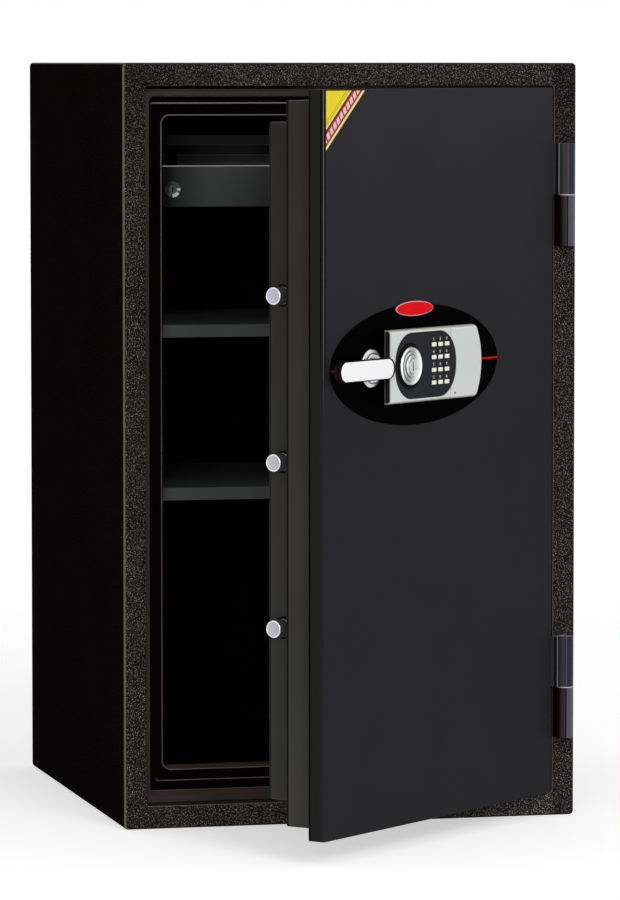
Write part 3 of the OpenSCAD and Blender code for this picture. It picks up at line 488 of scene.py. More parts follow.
# Painted highlights on the fillets and on the rim of the moulding.
fillet_looks = [(-0.98, "#2a2120"), (-0.85, "#7d736d"), (-0.25, "#7d736d"), (-0.1, "#1c1413")]
fillet_looks += [(0.15, "#1c1413"), (0.4, "#6e6059"), (0.9, "#6e6059")]
jamb_fillet = paint("jamb_fillet", specular=0.05, looks=(UP, fillet_looks))
jamb_rim = paint(
    "jamb_rim", rough=0.35, specular=0.15,
    looks=(UP, [(-0.7, "#8d857f"), (-0.2, "#7a726d"), (0.2, "#7a726d"), (0.7, "#5f5a55")]),
)
# Painted highlights on the seal's faces that look up, and a painted highlight line across its top run, which
# is otherwise dark.
seal_rubber = paint(
    "seal_rubber", rough=0.4, specular=0.0,
    looks=(UP, [(0.2, "#0b0606"), (0.4, "#7a706a"), (0.85, "#7a706a"), (0.97, "#0b0606")]),
    lines=(([(UP, between(840, 870))], "#0b0606"), ([(UP, between(852.2, 853.4))], "#8f847d")),
)
# Painted highlights and shade: light and dark lines up the hinge knuckles, in mm from the hinge line; the
# glint on their top edges is a painted highlight
hinge_bands = [(-18, "#2b2e2f"), (-13.6, "#2b2e2f"), (-13.3, "#08060a"), (-10.2, "#08060a")]
hinge_bands += [(-9.8, "#75737a"), (-9.2, "#75737a"), (-8.8, "#212229"), (-5.6, "#26272e")]
hinge_bands += [(-4.6, "#3b3539"), (-1.5, "#3b3539"), (0.4, "#29272d"), (1.0, "#56545b")]
hinge_bands += [(1.5, "#56545b"), (2.0, "#2d2f38"), (9.5, "#31343d")]
hinge_enamel = paint(
    "hinge_enamel", rough=0.35, specular=0.04,
    bands=(KNUCKLE_ACROSS, hinge, hinge_bands), glint=(UP, 0.45, "#8f8d92"),
)
# The same painted highlights and shade up the lower knuckles.
knuckle_bands = [(-18, "#0a0405"), (-13.5, "#0f0607"), (-7.0, "#170c0c"), (-5.4, "#2f2929")]
knuckle_bands += [(-0.2, "#343031"), (0.4, "#100d10"), (1.7, "#100d10"), (2.3, "#6b6a71")]
knuckle_bands += [(3.0, "#4a4a53"), (5.5, "#54555f"), (9.5, "#5b5c66")]
knuckle_enamel = paint(
    "knuckle_enamel", rough=0.35, specular=0.04, bands=(KNUCKLE_ACROSS, hinge, knuckle_bands)
)
# Pale paint in place of bright metal: the washers' shine is a painted reflection.
washer_shine = paint("washer_shine", "#b3adb1", rough=0.25, specular=0.3)
# The drawer lock: dark at its left end as painted shade, with painted fans of light and dark as painted
# reflections round its centre.
lock_fans = [(-1, 0.05), (-0.3, 0.07), (0.25, 0.1), (0.36, 0.85), (0.6, 0.85), (0.68, 0.1), (0.82, 0.12)]
lock_fans += [(0.9, 0.8), (1, 0.85)]
lock_chrome = paint(
    "lock_chrome", "#dfe1dc", rough=0.25, specular=0.3,
    fades=((ALONG_X, FLOOR, [(-203, 0.01), (-196, 0.03), (-193, 0.25), (-191, 1), (-180, 1)]),),
    sweep=(drawer_lock, Vector((0.5, 0, -0.87)), lock_fans),
)
dark_chrome = paint("dark_chrome", "#50534f", rough=0.3, specular=0.1)
# Dark paint on the bolts' chrome sides is a painted reflection of their dark surroundings; their bright
# groove is a painted highlight.
bolt_side = paint("bolt_side", "#505155", rough=0.25, specular=0.35)
bolt_groove = paint("bolt_groove", "#c4c5c9", rough=0.3, specular=0.3)
# The key plug is near black except at its very front, as painted shade inside the bezel's bore.
plug_chrome = metal(
    "plug_chrome", "#c3c6c3", rough=0.22,
    fades=((DOOR_FRONT, door_origin, [(0, 0.02), (19.9, 0.02), (20.2, 1), (21, 1)]),),
)
plain_steel = metal("plain_steel", "#9d9ea1", rough=0.38, brushed=(1, 1, 12))
black_gloss = moulded("black_gloss", "#010101", rough=0.3, specular=0.002)
panel_black = moulded("panel_black", "#212226", rough=0.4, specular=0.03)
# The light line on the lock base is a painted highlight; the base is black up to 7.4 mm out from the door
# and dark grey beyond.
base_bands = [(0, "#020202"), (7.4, "#020202"), (7.6, "#6f716f"), (8.0, "#6f716f"), (8.4, "#1c1c1e")]
base_bands += [(16, "#262628")]
base_black = paint(
    "base_black", rough=0.35, specular=0.01, bands=(DOOR_FRONT, door_origin, base_bands)
)
collar_black = moulded("collar_black", "#040405", rough=0.4, specular=0.02)
bush_black = moulded("bush_black", "#070708", rough=0.4, specular=0.05)
lever_dark = moulded("lever_dark", "#120c0b", rough=0.35, specular=0.03)
lever_silver = paint("lever_silver", "#fdfdff", rough=0.3, specular=0.3, spread=0.02)
# Painted shade on the keys' sides and on the lower edge of each cap.
key_ivory = paint(
    "key_ivory", rough=0.4, specular=0.1, spread=0.02,
    looks=(DOOR_FRONT, [(0.5, "#3c3b36"), (0.95, "#f4f2e8")]),
    lines=[([(UP, between(foot - 0.5, foot + 1.7))], "#2e2d2a") for foot in key_feet],
)
digit_grey = moulded("digit_grey", "#e2e3e1", rough=0.5)
bolt_face = paint("bolt_face", "#c9c6d0", rough=0.4, specular=0.3, grain=2500, depth=0.00008, spread=0.06)
bolt_rim = metal("bolt_rim", "#fafafa", rough=0.3)
# Painted shade on the rounded edges of the lock cover, greyer than its face.
silver_looks = [(0.0, "#8f918a"), (0.3, "#a9aba0"), (0.8, "#c3c5ba"), (0.93, "#e4e6e2"), (0.99, "#d3d7d5")]
silver_paint = paint(
    "silver_paint", rough=0.34, specular=0.25, spread=0.02, looks=(DOOR_FRONT, silver_looks)
)
red_gloss = moulded("red_gloss", "#e0030f", rough=0.3, specular=0.03)
pale_rim = moulded("pale_rim", "#dba5a3", rough=0.4, specular=0.05)
mineral_fill = moulded("mineral_fill", "#b9b3a6", rough=0.9, specular=0.1, grain=300, depth=0.0005)
board_green = moulded("board_green", "#1f5a34", rough=0.35, specular=0.3)
battery_wrap = moulded("battery_wrap", "#6a6f78", rough=0.3, specular=0.3)


# Mesh helpers


def add_object(name, data):
    item = bpy.data.objects.new(name, data)
    bpy.context.scene.collection.objects.link(item)
    return item


def closed_mesh(name, bm):
    """Turns a bmesh into a mesh whose faces all look out."""
    mesh = bpy.data.meshes.new(name)
    bmesh.ops.recalc_face_normals(bm, faces=bm.faces)
    bm.to_mesh(mesh)
    bm.free()
    return mesh


def new_piece(name, bm, materials, body, replaces=None, sharp=35):
    """Adds a piece that rides on a body. All but those of the cabinet are drawn with the door shut."""
    mesh = closed_mesh(name, bm)
    piece = add_object(name, mesh)
    for material in materials:
        mesh.materials.append(material)
    mesh.shade_smooth()
    mesh.set_sharp_from_angle(angle=math.radians(sharp))
    if body != "cabinet":
        piece.matrix_world = door_place
    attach(piece, body)
    if replaces:
        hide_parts(replaces)
    return piece


def coat(node, material):
    """Gives a CAD node its finish."""
    nodes[node].data.materials.clear()
    nodes[node].data.materials.append(material)


def dress(node, material, edge):
    """Gives a CAD node its finish and, where edge is a width, rounded edges; its flats stay flat."""
    coat(node, material)
    piece = nodes[node]
    if piece.data.has_custom_normals:
        with bpy.context.temp_override(object=piece, active_object=piece, selected_objects=[piece]):
            bpy.ops.mesh.customdata_custom_splitnormals_clear()
    piece.data.shade_smooth()
    weld = piece.modifiers.new("weld", "WELD")
    weld.merge_threshold = 0.00001
    if edge:
        flats = piece.modifiers.new("flats", "DECIMATE")
        flats.decimate_type = "DISSOLVE"
        flats.angle_limit = math.radians(0.5)
        bevel = piece.modifiers.new("edges", "BEVEL")
        bevel.width = edge
        bevel.segments = 3
        bevel.limit_method = "ANGLE"
        bevel.angle_limit = math.radians(30)
        bevel.harden_normals = True
        bevel.miter_outer = "MITER_ARC"
    else:
        split = piece.modifiers.new("crisp", "EDGE_SPLIT")
        split.split_angle = math.radians(30)


def rectangle(box, radius, depth, arc_steps=7):
    """Points of a rounded rectangle (left, right, bottom, top in mm) at a depth in mm behind the front."""
    left, right, bottom, top = box
    points = []
    corners = [(right, top, 0), (left, top, 90), (left, bottom, 180), (right, bottom, 270)]
    for x, z, start in corners:
        centre_x = x - radius if x == right else x + radius
        centre_z = z - radius if z == top else z + radius
        for step in range(arc_steps + 1):
            angle = math.radians(start + 90 * step / arc_steps)
            px, pz = centre_x + radius * math.cos(angle), centre_z + radius * math.sin(angle)
            points.append(Vector((px * MM, front_y + depth * MM, pz * MM)))
    return points


def oval(centre_x, centre_z, width, height, depth, steps=96):
    points = []
    for step in range(steps):
        angle = 2 * math.pi * step / steps
        x, z = centre_x + width / 2 * math.cos(angle), centre_z + height / 2 * math.sin(angle)
        points.append(Vector((x * MM, front_y + depth * MM, z * MM)))
    return points


def loft(loops, bands=None, closed=False, capped=False):
    """Skins a row of loops that have as many points each; bands gives the material of each strip."""
    bm = bmesh.new()
    rows = [[bm.verts.new(point) for point in loop] for loop in loops]
    pairs = list(zip(rows, rows[1:]))
    if closed:
        pairs.append((rows[-1], rows[0]))
    for index, (near, far) in enumerate(pairs):
        count = len(near)
        for k in range(count):
            face = bm.faces.new((near[k], near[(k + 1) % count], far[(k + 1) % count], far[k]))
            face.material_index = bands[index] if bands else 0
    if capped:
        for row, index in ((rows[0], 0), (rows[-1], -1)):
            face = bm.faces.new(row)
            face.material_index = bands[index] if bands else 0
    return bm


def lathe(profile, centre, bands=None, steps=64, axis="y", bm=None):
    """Turns a profile of (radius, height) in mm round an axis through centre, in mm.

    The height runs out of the door front for axis "y", and along the width for axis "x".
    A profile that starts and ends on the axis is closed there; any other is closed into a ring.
    """
    bm = bm or bmesh.new()
    centre_x, centre_d, centre_z = centre

    def spot(radius, height, angle):
        c, s = radius * math.cos(angle), radius * math.sin(angle)
        if axis == "y":
            return Vector(((centre_x + c) * MM, front_y + (centre_d - height) * MM, (centre_z + s) * MM))
        return Vector(((centre_x + height) * MM, front_y + (centre_d + c) * MM, (centre_z + s) * MM))

    rows = []
    for radius, height in profile:
        count = steps if radius else 1
        rows.append([bm.verts.new(spot(radius, height, 2 * math.pi * k / steps)) for k in range(count)])
    pairs = list(zip(rows, rows[1:]))
    if profile[0][0]:
        pairs.append((rows[-1], rows[0]))
    for index, (near, far) in enumerate(pairs):
        for k in range(steps):
            after = k + 1
            ring = [near[k % len(near)], near[after % len(near)], far[after % len(far)], far[k % len(far)]]
            face = bm.faces.new(list(dict.fromkeys(ring)))
            face.material_index = bands[index] if bands else 0
    return bm


def grown(box, margin):
    left, right, bottom, top = box
    return (left - margin, right + margin, bottom - margin, top + margin)


def border(box, radius, margin, depth):
    """A rounded rectangle that lies a margin outside a box, with its corners as far out."""
    return rectangle(grown(box, margin), radius + margin, depth)


def door_mm(node):
    """Box of a node of the shut door in mm: left, right, bottom, top, and how far out it starts and ends."""
    low, high = node_box(node, on_door=True)
    return low.x / MM, high.x / MM, low.z / MM, high.z / MM, (front_y - high.y) / MM, (front_y - low.y) / MM


# Cabinet

# The front strip and the moulding behind it, in mm: widths, depths behind the front, and corner radii
STRIP_WIDTH, STEP1_WIDTH = 27, 9
STEP1_DEPTH, STEP2_DEPTH, THROAT_DEPTH = 22, 64, 102
SHEET, JAMB_WALL = 2, 3
RIM_SIDE, RIM_TOP, THROAT_TAPER = 24, 26, 9
BODY_RADIUS, OPENING_RADIUS, STEP_RADIUS, RIM_RADIUS = 5, 4, 8, 10
# The seam between strip and moulding, and how much lower the moulding's head is
SEAM_SIDE, SEAM_BOTTOM, SEAM_TOP, SEAM_DEPTH = 1.8, 1.3, 3.4, 2.4
HEAD = 2.5
shell_low, shell_high = node_box("outer_shell")
body_box = (shell_low.x / MM, shell_high.x / MM, shell_low.z / MM, shell_high.z / MM)
opening_box = grown(body_box, -STRIP_WIDTH)
step2_box = grown(opening_box, -STEP1_WIDTH)
step2_box = (*step2_box[:3], step2_box[3] - HEAD)
seam_box = (
    opening_box[0] + SEAM_SIDE,
    opening_box[1] - SEAM_SIDE,
    opening_box[2] + SEAM_BOTTOM,
    opening_box[3] - SEAM_TOP,
)
rim_box = (
    step2_box[0] + RIM_SIDE,
    step2_box[1] - RIM_SIDE,
    step2_box[2] + RIM_TOP,
    step2_box[3] - RIM_TOP + HEAD,
)


def fillet_loops(box, radius, depth, size, convex=True, outer=False, steps=4):
    """Loops of a fillet: a convex one turns from a face into a wall behind it, any other back to a face.

    The wall has the size of the box. A fillet on its outer side lies inside the box, any other outside.
    """
    loops = []
    for step in range(steps + 1):
        angle = math.radians(90 * step / steps)
        if convex:
            margin = size * (1 - math.sin(angle))
            behind = depth + size * (1 - math.cos(angle))
        else:
            margin = -size * (1 - math.cos(angle))
            behind = depth - size * (1 - math.sin(angle))
        loops.append(border(box, radius, -margin if outer else margin, behind))
    return loops


def make_strip():
    """Textured strip around the opening, with a smooth edge where the sheet is folded that carries painted
    highlights.
    """
    fold, lip, flange = 1.9, 0.7, 2
    outer = list(reversed(fillet_loops(body_box, BODY_RADIUS, 0, fold, outer=True)))
    inner = fillet_loops(opening_box, OPENING_RADIUS, 0, lip)
    loops = [rectangle(body_box, BODY_RADIUS, SHEET)] + outer + inner
    loops += [
        rectangle(opening_box, OPENING_RADIUS, STEP1_DEPTH),
        border(opening_box, OPENING_RADIUS, flange, STEP1_DEPTH),
        border(opening_box, OPENING_RADIUS, flange, SHEET),
    ]
    textured, smooth = 0, 1
    bands = [smooth] * len(outer) + [textured] + [smooth] * (len(inner) - 1) + [textured] * 4
    bm = loft(loops, bands, closed=True)
    new_piece("textured_strip", bm, (strip_paint, strip_edge), "cabinet", "front_frame")


def make_jamb():
    """Stepped moulding of the door opening, with painted highlights on its rims."""
    brown, dark, fillet, rim = 0, 1, 2, 3
    edge_size, corner_size, rim_size, throat_radius = 1.4, 1.2, 1.3, 1.0
    edge1 = fillet_loops(step2_box, STEP_RADIUS, STEP1_DEPTH, edge_size)
    corner = fillet_loops(step2_box, STEP_RADIUS, STEP2_DEPTH, corner_size, convex=False)
    edge2 = fillet_loops(rim_box, RIM_RADIUS, STEP2_DEPTH, rim_size)
    back_box = (rim_box[0] + THROAT_TAPER, rim_box[1] - THROAT_TAPER, rim_box[2], rim_box[3])
    back_d = STEP2_DEPTH + JAMB_WALL
    flange_d = STEP1_DEPTH + JAMB_WALL
    loops = [
        border(opening_box, OPENING_RADIUS, SHEET, STEP1_DEPTH),
        rectangle(opening_box, OPENING_RADIUS, STEP1_DEPTH + SEAM_DEPTH),
        rectangle(seam_box, OPENING_RADIUS, STEP1_DEPTH + SEAM_DEPTH),
        rectangle(seam_box, OPENING_RADIUS, STEP1_DEPTH),
    ]
    loops += edge1 + corner + edge2
    loops += [
        rectangle(back_box, throat_radius, THROAT_DEPTH),
        rectangle(grown(rim_box, JAMB_WALL), 2 * throat_radius, THROAT_DEPTH),
        rectangle(grown(rim_box, JAMB_WALL), 2 * throat_radius, back_d),
        border(step2_box, STEP_RADIUS, JAMB_WALL, back_d),
        border(step2_box, STEP_RADIUS, JAMB_WALL, flange_d),
        border(opening_box, OPENING_RADIUS, SHEET, flange_d),
    ]
    bands = [dark] * 3 + [brown] * len(edge1) + [dark] + [fillet] * (len(corner) - 1)
    bands += [dark] + [rim] * (len(edge2) - 1) + [dark] * 7
    bm = loft(loops, bands, closed=True)
    finishes = (jamb_brown, jamb_dark, jamb_fillet, jamb_rim)
    drill_bolt_holes(new_piece("door_jamb", bm, finishes, "cabinet", "jamb_frame"))


def drill_bolt_holes(piece):
    """Cuts the three holes that take the bolts into the left wall of the throat."""
    reach = 20
    drill = [(0, -reach), (BOLT_HOLE, -reach), (BOLT_HOLE, reach), (0, reach)]
    holes = bmesh.new()
    for height in bolt_heights:
        lathe(drill, (rim_box[0], bolt_depth, height), axis="x", steps=40, bm=holes)
    cutter = add_object("holes", closed_mesh("holes", holes))
    cut = piece.modifiers.new("holes", "BOOLEAN")
    cut.object = cutter
    cut.solver = "EXACT"
    bpy.context.view_layer.update()
    evaluated = piece.evaluated_get(bpy.context.evaluated_depsgraph_get())
    result = bpy.data.meshes.new_from_object(evaluated)
    piece.modifiers.clear()
    piece.data = result
    bpy.data.objects.remove(cutter)


BOLT_RADIUS, BOLT_HOLE = 10, 12
bolt_low, bolt_high = node_box("live_bolts", on_door=True)
bolt_depth = ((bolt_low.y + bolt_high.y) / 2 - front_y) / MM
bolt_first, bolt_last = bolt_low.z / MM + BOLT_RADIUS, bolt_high.z / MM - BOLT_RADIUS
bolt_heights = (bolt_first, (bolt_first + bolt_last) / 2, bolt_last)

make_strip()
make_jamb()


# Door


def make_bolts():
    """Three round bolts with a satin end, a bright chamfer, sides painted dark as a painted reflection, and
    a turned groove near the door painted bright as a painted highlight.
    """
    bm = bmesh.new()
    start, end = bolt_low.x / MM, bolt_high.x / MM
    length = end - start
    r = BOLT_RADIUS
    profile = [(0, 0.35), (8.5, 0.3), (9.0, 0.0), (9.4, 0.3), (r, 1.2), (r, 17.0), (9.5, 17.4), (9.5, 18.0)]
    profile += [(r, 18.4), (r, length), (0, length)]
    face, rim, side, groove = 0, 1, 2, 3
    bands = [face, rim, rim, rim, side, groove, side, groove, side, side]
    for height in bolt_heights:
        lathe(profile, (start, bolt_depth, height), bands, axis="x", bm=bm)
    finishes = (bolt_face, bolt_rim, bolt_side, bolt_groove)
    new_piece("bolt_rods", bm, finishes, "boltwork", "live_bolts")


def centre_mm(node):
    left, right, bottom, top, _, _ = door_mm(node)
    return (left + right) / 2, (bottom + top) / 2


def make_badge():
    """Plain domed oval, red with a thin pale rim."""
    left, right, bottom, top, low, high = door_mm("badge")
    x, z = centre_mm("badge")
    width, height = right - left, top - bottom
    red, pale = 0, 1
    rim, ease = 1.8, 0.8
    loops = [oval(x, z, width, height, -low), oval(x, z, width, height, -high + 0.5)]
    loops += [oval(x, z, width - inset, height - inset, -high + 0.2) for inset in (ease, rim)]
    for share, sink in ((0.9, 0.1), (0.7, 0.05), (0.4, 0.01), (0.1, 0.0)):
        loops.append(oval(x, z, (width - rim) * share, (height - rim) * share, -high + sink))
    bm = loft(loops, [pale] * 3 + [red] * 4, capped=True)
    new_piece("plain_badge", bm, (red_gloss, pale_rim), "door", "badge")


def make_sticker():
    """Thin printed triangle in the corner of the door."""
    left, right, bottom, top, low, high = door_mm("corner_sticker")
    corner = Vector((left * MM, front_y, top * MM))
    film = striped_film("striped_film", corner, (right - left) * MM, (top - bottom) * MM)
    blunt, cut = 0.4, 0.6
    outline = [(left, top), (right, top), (right - blunt, top - cut), (left + cut, bottom + blunt)]
    outline.append((left, bottom))
    levels = (low + 0.02, high)
    loops = [[Vector((x * MM, front_y - level * MM, z * MM)) for x, z in outline] for level in levels]
    bm = loft(loops, capped=True)
    new_piece("striped_sticker", bm, (film,), "door", "corner_sticker")


def make_bezel():
    """Stepped ring round the key cylinder, with its barrel behind."""
    x, z = centre_mm("key_bezel")
    left, right, _, _, low, high = door_mm("key_bezel")
    r = (right - left) / 2
    bore, barrel = 8.46, 12
    shoulder = high - 11.5
    profile = [(bore, high - 0.5), (8.9, high - 0.1), (12.4, high), (13.0, high - 0.4), (13.0, high - 1.4)]
    profile += [(14.0, high - 1.5), (16.4, high - 1.2), (16.9, high - 1.4), (16.9, high - 2.2)]
    profile += [(17.6, high - 2.3), (20.3, high - 0.9), (21.0, high - 1.2), (r, high - 2.4), (r, shoulder)]
    profile += [(barrel, shoulder), (barrel, low), (bore, low)]
    ring, groove, inner, side = 0, 1, 2, 3
    bands = [groove, inner, inner, groove, groove, inner, inner, groove, groove, ring, ring, ring]
    bands += [side] * 5
    bm = lathe(profile, (x, 0, z), bands=bands, steps=96)
    about = (x * MM, 0, z * MM)
    # Painted fans of light and dark are painted reflections on the bezel; its step walls in the darker
    # groove metal are painted shade.
    fans = [(-1, 1), (-0.8, 1), (-0.3, 0.7), (0.1, 0.42), (0.45, 0.5), (0.75, 1), (1, 1)]
    side_fans = [(-1, 0.55), (-0.5, 0.5), (0.1, 0.75), (0.5, 1), (0.8, 0.8), (1, 0.45)]
    face_sweep = (Vector((-0.97, 0, 0.25)), fans)
    finishes = (
        turned("bezel_ring", "#f6f8f6", about, 0.3, face_sweep),
        turned("bezel_groove", "#7c7e7d", about, 0.4),
        turned("bezel_inner", "#dfe2e0", about, 0.3, face_sweep),
        turned("bezel_side", "#d6d9d7", about, 0.3, (Vector((-0.6, 0, 0.8)), side_fans)),
    )
    new_piece("cylinder_bezel", bm, finishes, "door", "key_bezel", sharp=25)


def make_collar():
    """Black ring on the panel round the key bezel."""
    x, z = centre_mm("key_bezel")
    panel = door_mm("keypad_panel")[5]
    profile = [(22.2, panel - 2.5), (22.2, panel + 0.1), (22.9, panel + 0.4), (26.0, panel + 0.3)]
    profile += [(26.7, panel + 0.02), (24.3, panel + 0.02), (24.3, panel - 2.5)]
    bm = lathe(profile, (x, 0, z), steps=96)
    new_piece("bezel_collar", bm, (collar_black,), "door")


def make_rosette():
    """Two-step round rose under the lever."""
    x, z = centre_mm("handle_rosette")
    left, right, _, _, low, high = door_mm("handle_rosette")
    r = (right - left) / 2
    bore = 6.06
    profile = [(bore, low), (r, low), (r, low + 3.2), (r - 0.9, low + 4.1), (17.6, low + 4.4)]
    profile += [(16.9, low + 4.9), (16.6, high - 0.9), (15.7, high), (bore, high)]
    face, groove, side = 0, 1, 2
    bm = lathe(profile, (x, 0, z), bands=[face, side, face, face, groove, side, face, face, face], steps=96)
    about = (x * MM, 0, z * MM)
    # Painted fans of light and dark are painted reflections on the rose; its groove and outer side in darker
    # metal are painted shade.
    fans = [(-1, 0.7), (-0.6, 1), (-0.1, 0.5), (0.3, 1), (0.7, 0.6), (1, 1)]
    finishes = (
        turned("turned_rose", "#dfe1e3", about, 0.26, (Vector((-0.6, 0, 0.8)), fans)),
        turned("rose_groove", "#6f7071", about, 0.3),
        metal("rose_side", "#6f7172", rough=0.25),
    )
    new_piece("round_rose", bm, finishes, "door", "handle_rosette", sharp=25)


def make_lever():
    """Dark lever with a silver face let into its front, and the hub that turns the spindle."""
    left, right, bottom, top, low, high = door_mm("handle_lever")
    half = (top - bottom) / 2
    box = (left, right, bottom, top)
    thick, hub_radius, silver_end = 11, 10, 2.6
    under = high - thick
    dark, silver = 0, 1

    def outline(margin, height, end=0.0):
        inner = grown(box, margin)
        return rectangle((inner[0], inner[1] - end, *inner[2:]), half + margin, -height, arc_steps=14)

    loops = [outline(-2.5, under), outline(-0.7, under + 0.6), outline(0, under + 2.2)]
    loops += [outline(0, high - 1.6), outline(-0.3, high - 0.8), outline(-0.9, high - 0.5, 1.6)]
    for margin, sink in ((-1.1, 0.65), (-1.3, 0.4), (-2.0, 0.15), (-4.5, 0.04), (-8.0, 0)):
        loops.append(outline(margin, high - sink, silver_end))
    bm = loft(loops, [dark] * 6 + [silver] * 4, capped=True)
    axis = door_place.inverted() @ Vector(joints["handle_turn"]["pos_m"])
    profile = [(0, low), (hub_radius - 0.6, low), (hub_radius, low + 0.6), (hub_radius, under + 1.5)]
    hub = lathe(profile + [(0, under + 1.5)], (axis.x / MM, 0, (bottom + top) / 2), bm=bm)
    for face in hub.faces:
        if face.calc_center_median().y > front_y - (under + 0.2) * MM:
            face.material_index = dark
    new_piece("lever_handle", hub, (lever_dark, lever_silver), "handle", "handle_lever")


def make_digits():
    """Plain characters over the keys, printed on the panel."""
    size, above, thick, swell = 4.6, 1.4, 0.03, 0.09
    bm = bmesh.new()
    panel = door_mm("keypad_panel")[5]
    for index, text in enumerate("123456789C0A"):
        left, right, bottom, top, _, _ = door_mm(f"key_{index + 1}")
        curve = bpy.data.curves.new("character", "FONT")
        curve.body = text
        curve.size = size * MM
        curve.align_x = "CENTER"
        curve.extrude = thick * MM
        curve.offset = swell * MM
        curve.resolution_u = 3
        letter = add_object("character", curve)
        bpy.context.view_layer.update()
        mesh = bpy.data.meshes.new_from_object(letter.evaluated_get(bpy.context.evaluated_depsgraph_get()))
        spot = Vector(((left + right) / 2 * MM, front_y - (panel + thick) * MM, (top + above) * MM))
        mesh.transform(Matrix.Translation(spot) @ Matrix.Rotation(math.radians(90), 4, "X"))
        bm.from_mesh(mesh)
        bpy.data.objects.remove(letter)
        bpy.data.curves.remove(curve)
        bpy.data.meshes.remove(mesh)
    new_piece("key_characters", bm, (digit_grey,), "door")


def make_reset_plug():
    """Small black plug over the reset hole, at the lower left of the battery cover."""
    left, _, bottom, _, _, high = door_mm("battery_cover")
    from_left, from_bottom = 9.0, 6.6
    profile = [(0, high), (1.5, high), (1.5, high + 0.1), (1.1, high + 0.25), (0, high + 0.25)]
    bm = lathe(profile, (left + from_left, 0, bottom + from_bottom), steps=24)
    new_piece("reset_plug", bm, (bush_black,), "battery_lid")


make_bolts()
make_badge()
make_sticker()
make_bezel()
make_collar()
make_rosette()
make_lever()
make_digits()
make_reset_plug()


# Finishes of the CAD nodes that show as they are

for material, edge, *names in [
    (case_black, 0.0, "outer_shell", "rear_panel"),
    (mineral_fill, 0.0, "body_insulation", "door_insulation"),
    (seal_rubber, 0.0014, "door_seal"),
    (plain_steel, 0.0, "strike_plate", "hinge_pins", "handle_spindle", "solenoid_plunger"),
    (plain_steel, 0.0004, "cover_screws", "solenoid_body", "bolt_bar", "drive_cam", "key_cam"),
    (liner_paint, 0.0, "inner_liner"),
    (liner_paint, 0.0004, "shelf_supports"),
    (shelf_paint, 0.0005, "upper_shelf", "lower_shelf"),
    (hood_paint, 0.0004, "drawer_hood"),
    (keeper_paint, 0.0003, "drawer_keeper"),
    (knuckle_enamel, 0.0008, "lower_hinge_knuckles"),
    (hinge_enamel, 0.0008, "upper_hinge_knuckles"),
    (washer_shine, 0.0003, "hinge_washers"),
    (drawer_paint, 0.001, "drawer_tray"),
    (lock_chrome, 0.0004, "drawer_lock_barrel"),
    (dark_chrome, 0.0002, "drawer_lock_plug"),
    (door_paint, 0.0022, "door_skin"),
    (tier_paint, 0.0012, "door_middle_pan", "door_inner_cover"),
    (bush_black, 0.0004, "bolt_bushes"),
    (black_gloss, 0.0003, "oval_plate"),
    (red_gloss, 0.0, "trim_line"),
    (base_black, 0.0005, "lock_base"),
    (silver_paint, 0.0005, "lock_housing", "battery_cover"),
    (panel_black, 0.0, "keypad_panel"),
    (board_green, 0.0, "circuit_board"),
    (battery_wrap, 0.0003, "batteries"),
    (plug_chrome, 0.0003, "key_plug"),
    (key_ivory, 0.0008, *[f"key_{number}" for number in range(1, 13)]),
]:
    for name in names:
        dress(name, material, edge)
REDRAWN = "front_frame jamb_frame live_bolts badge corner_sticker key_bezel handle_rosette handle_lever"
for name in REDRAWN.split():
    coat(name, plain_steel)


# Floor, light and camera


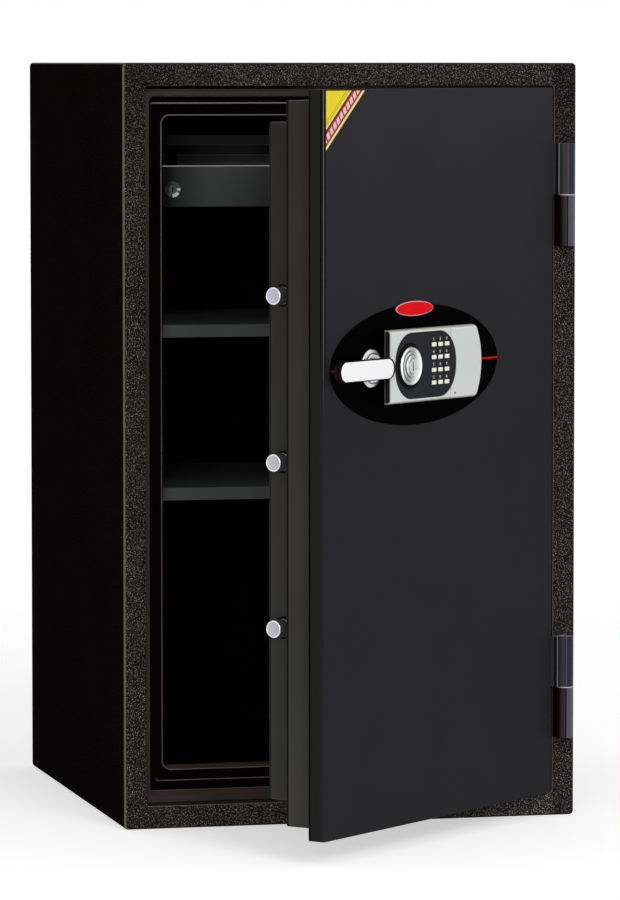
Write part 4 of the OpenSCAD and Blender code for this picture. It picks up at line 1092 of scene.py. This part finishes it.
def stage_floor():
    """Pale floor that fades into the white backdrop and keeps the object's shadow."""
    size, fade_start, fade_end = 6, 1.0, 2.4
    bm = bmesh.new()
    bmesh.ops.create_grid(bm, x_segments=1, y_segments=1, size=size)
    mesh = bpy.data.meshes.new("floor")
    bm.to_mesh(mesh)
    bm.free()
    floor = add_object("floor", mesh)
    m = Nodes("floor")
    m.shader.inputs["Base Color"].default_value = (0.9, 0.9, 0.9, 1)
    m.shader.inputs["Roughness"].default_value = 0.9
    m.shader.inputs["Specular IOR Level"].default_value = 0.0
    glow = m.add("ShaderNodeEmission")
    path = m.add("ShaderNodeLightPath")
    seen = m.math("MAXIMUM", path.outputs["Is Camera Ray"], path.outputs["Is Glossy Ray"])
    m.link(m.math("MULTIPLY", seen, 0.5), glow.inputs["Strength"])
    both = m.add("ShaderNodeAddShader")
    m.link(m.shader.outputs["BSDF"], both.inputs[0])
    m.link(glow.outputs["Emission"], both.inputs[1])
    fade = m.range(m.vector("LENGTH", m.place, result="Value"), 0, 1)
    fade.node.inputs["From Min"].default_value = fade_start
    fade.node.inputs["From Max"].default_value = fade_end
    clear = m.add("ShaderNodeBsdfTransparent")
    mix = m.add("ShaderNodeMixShader")
    m.link(fade, mix.inputs["Fac"])
    m.link(both.outputs["Shader"], mix.inputs[1])
    m.link(clear.outputs["BSDF"], mix.inputs[2])
    m.link(mix.outputs["Shader"], m.tree.nodes["Material Output"].inputs["Surface"])
    floor.data.materials.append(m.material)


def white_world(strength):
    """White behind the object and in its gloss, and an even soft light on its surfaces."""
    world = bpy.data.worlds.new("studio")
    bpy.context.scene.world = world
    world.use_nodes = True
    tree = world.node_tree
    background = tree.nodes["Background"]
    path = tree.nodes.new("ShaderNodeLightPath")
    seen = tree.nodes.new("ShaderNodeMath")
    seen.operation = "MAXIMUM"
    tree.links.new(path.outputs["Is Camera Ray"], seen.inputs[0])
    tree.links.new(path.outputs["Is Glossy Ray"], seen.inputs[1])
    level = tree.nodes.new("ShaderNodeMapRange")
    level.inputs["To Min"].default_value = strength
    level.inputs["To Max"].default_value = 1.0
    tree.links.new(seen.outputs["Value"], level.inputs["Value"])
    tree.links.new(level.outputs["Result"], background.inputs["Strength"])
    background.inputs["Color"].default_value = (1, 1, 1, 1)


def soft_light(name, place, aim, size, power):
    data = bpy.data.lights.new(name, "AREA")
    data.shape = "RECTANGLE"
    data.size, data.size_y = size
    data.energy = power
    lamp = add_object(name, data)
    lamp.location = place
    lamp.rotation_euler = (Vector(aim) - Vector(place)).to_track_quat("-Z", "Y").to_euler()


def make_camera():
    """Stands where the photograph's perspective puts it; its long lens covers the frame's height."""
    place = Vector((-1.530, -6.341, 0.904))
    yaw, pitch = math.radians(13.74), math.radians(-4.22)
    ahead = Vector((math.sin(yaw) * math.cos(pitch), math.cos(yaw) * math.cos(pitch), math.sin(pitch)))
    data = bpy.data.cameras.new("camera")
    data.sensor_width = 36
    data.lens = 211.7
    data.clip_end = 60
    camera = add_object("camera", data)
    camera.location = place
    camera.rotation_mode = "QUATERNION"
    camera.rotation_quaternion = ahead.to_track_quat("-Z", "Y")
    bpy.context.scene.camera = camera


stage_floor()
white_world(0.45)
soft_light("key", (1.3, -6.5, 2.9), (0, -0.3, 0.5), (3.0, 3.0), 175)
soft_light("fill", (-2.1, -6.5, 1.3), (0, -0.3, 0.45), (2.0, 2.4), 90)
make_camera()
bpy.context.scene.view_settings.view_transform = "Standard"
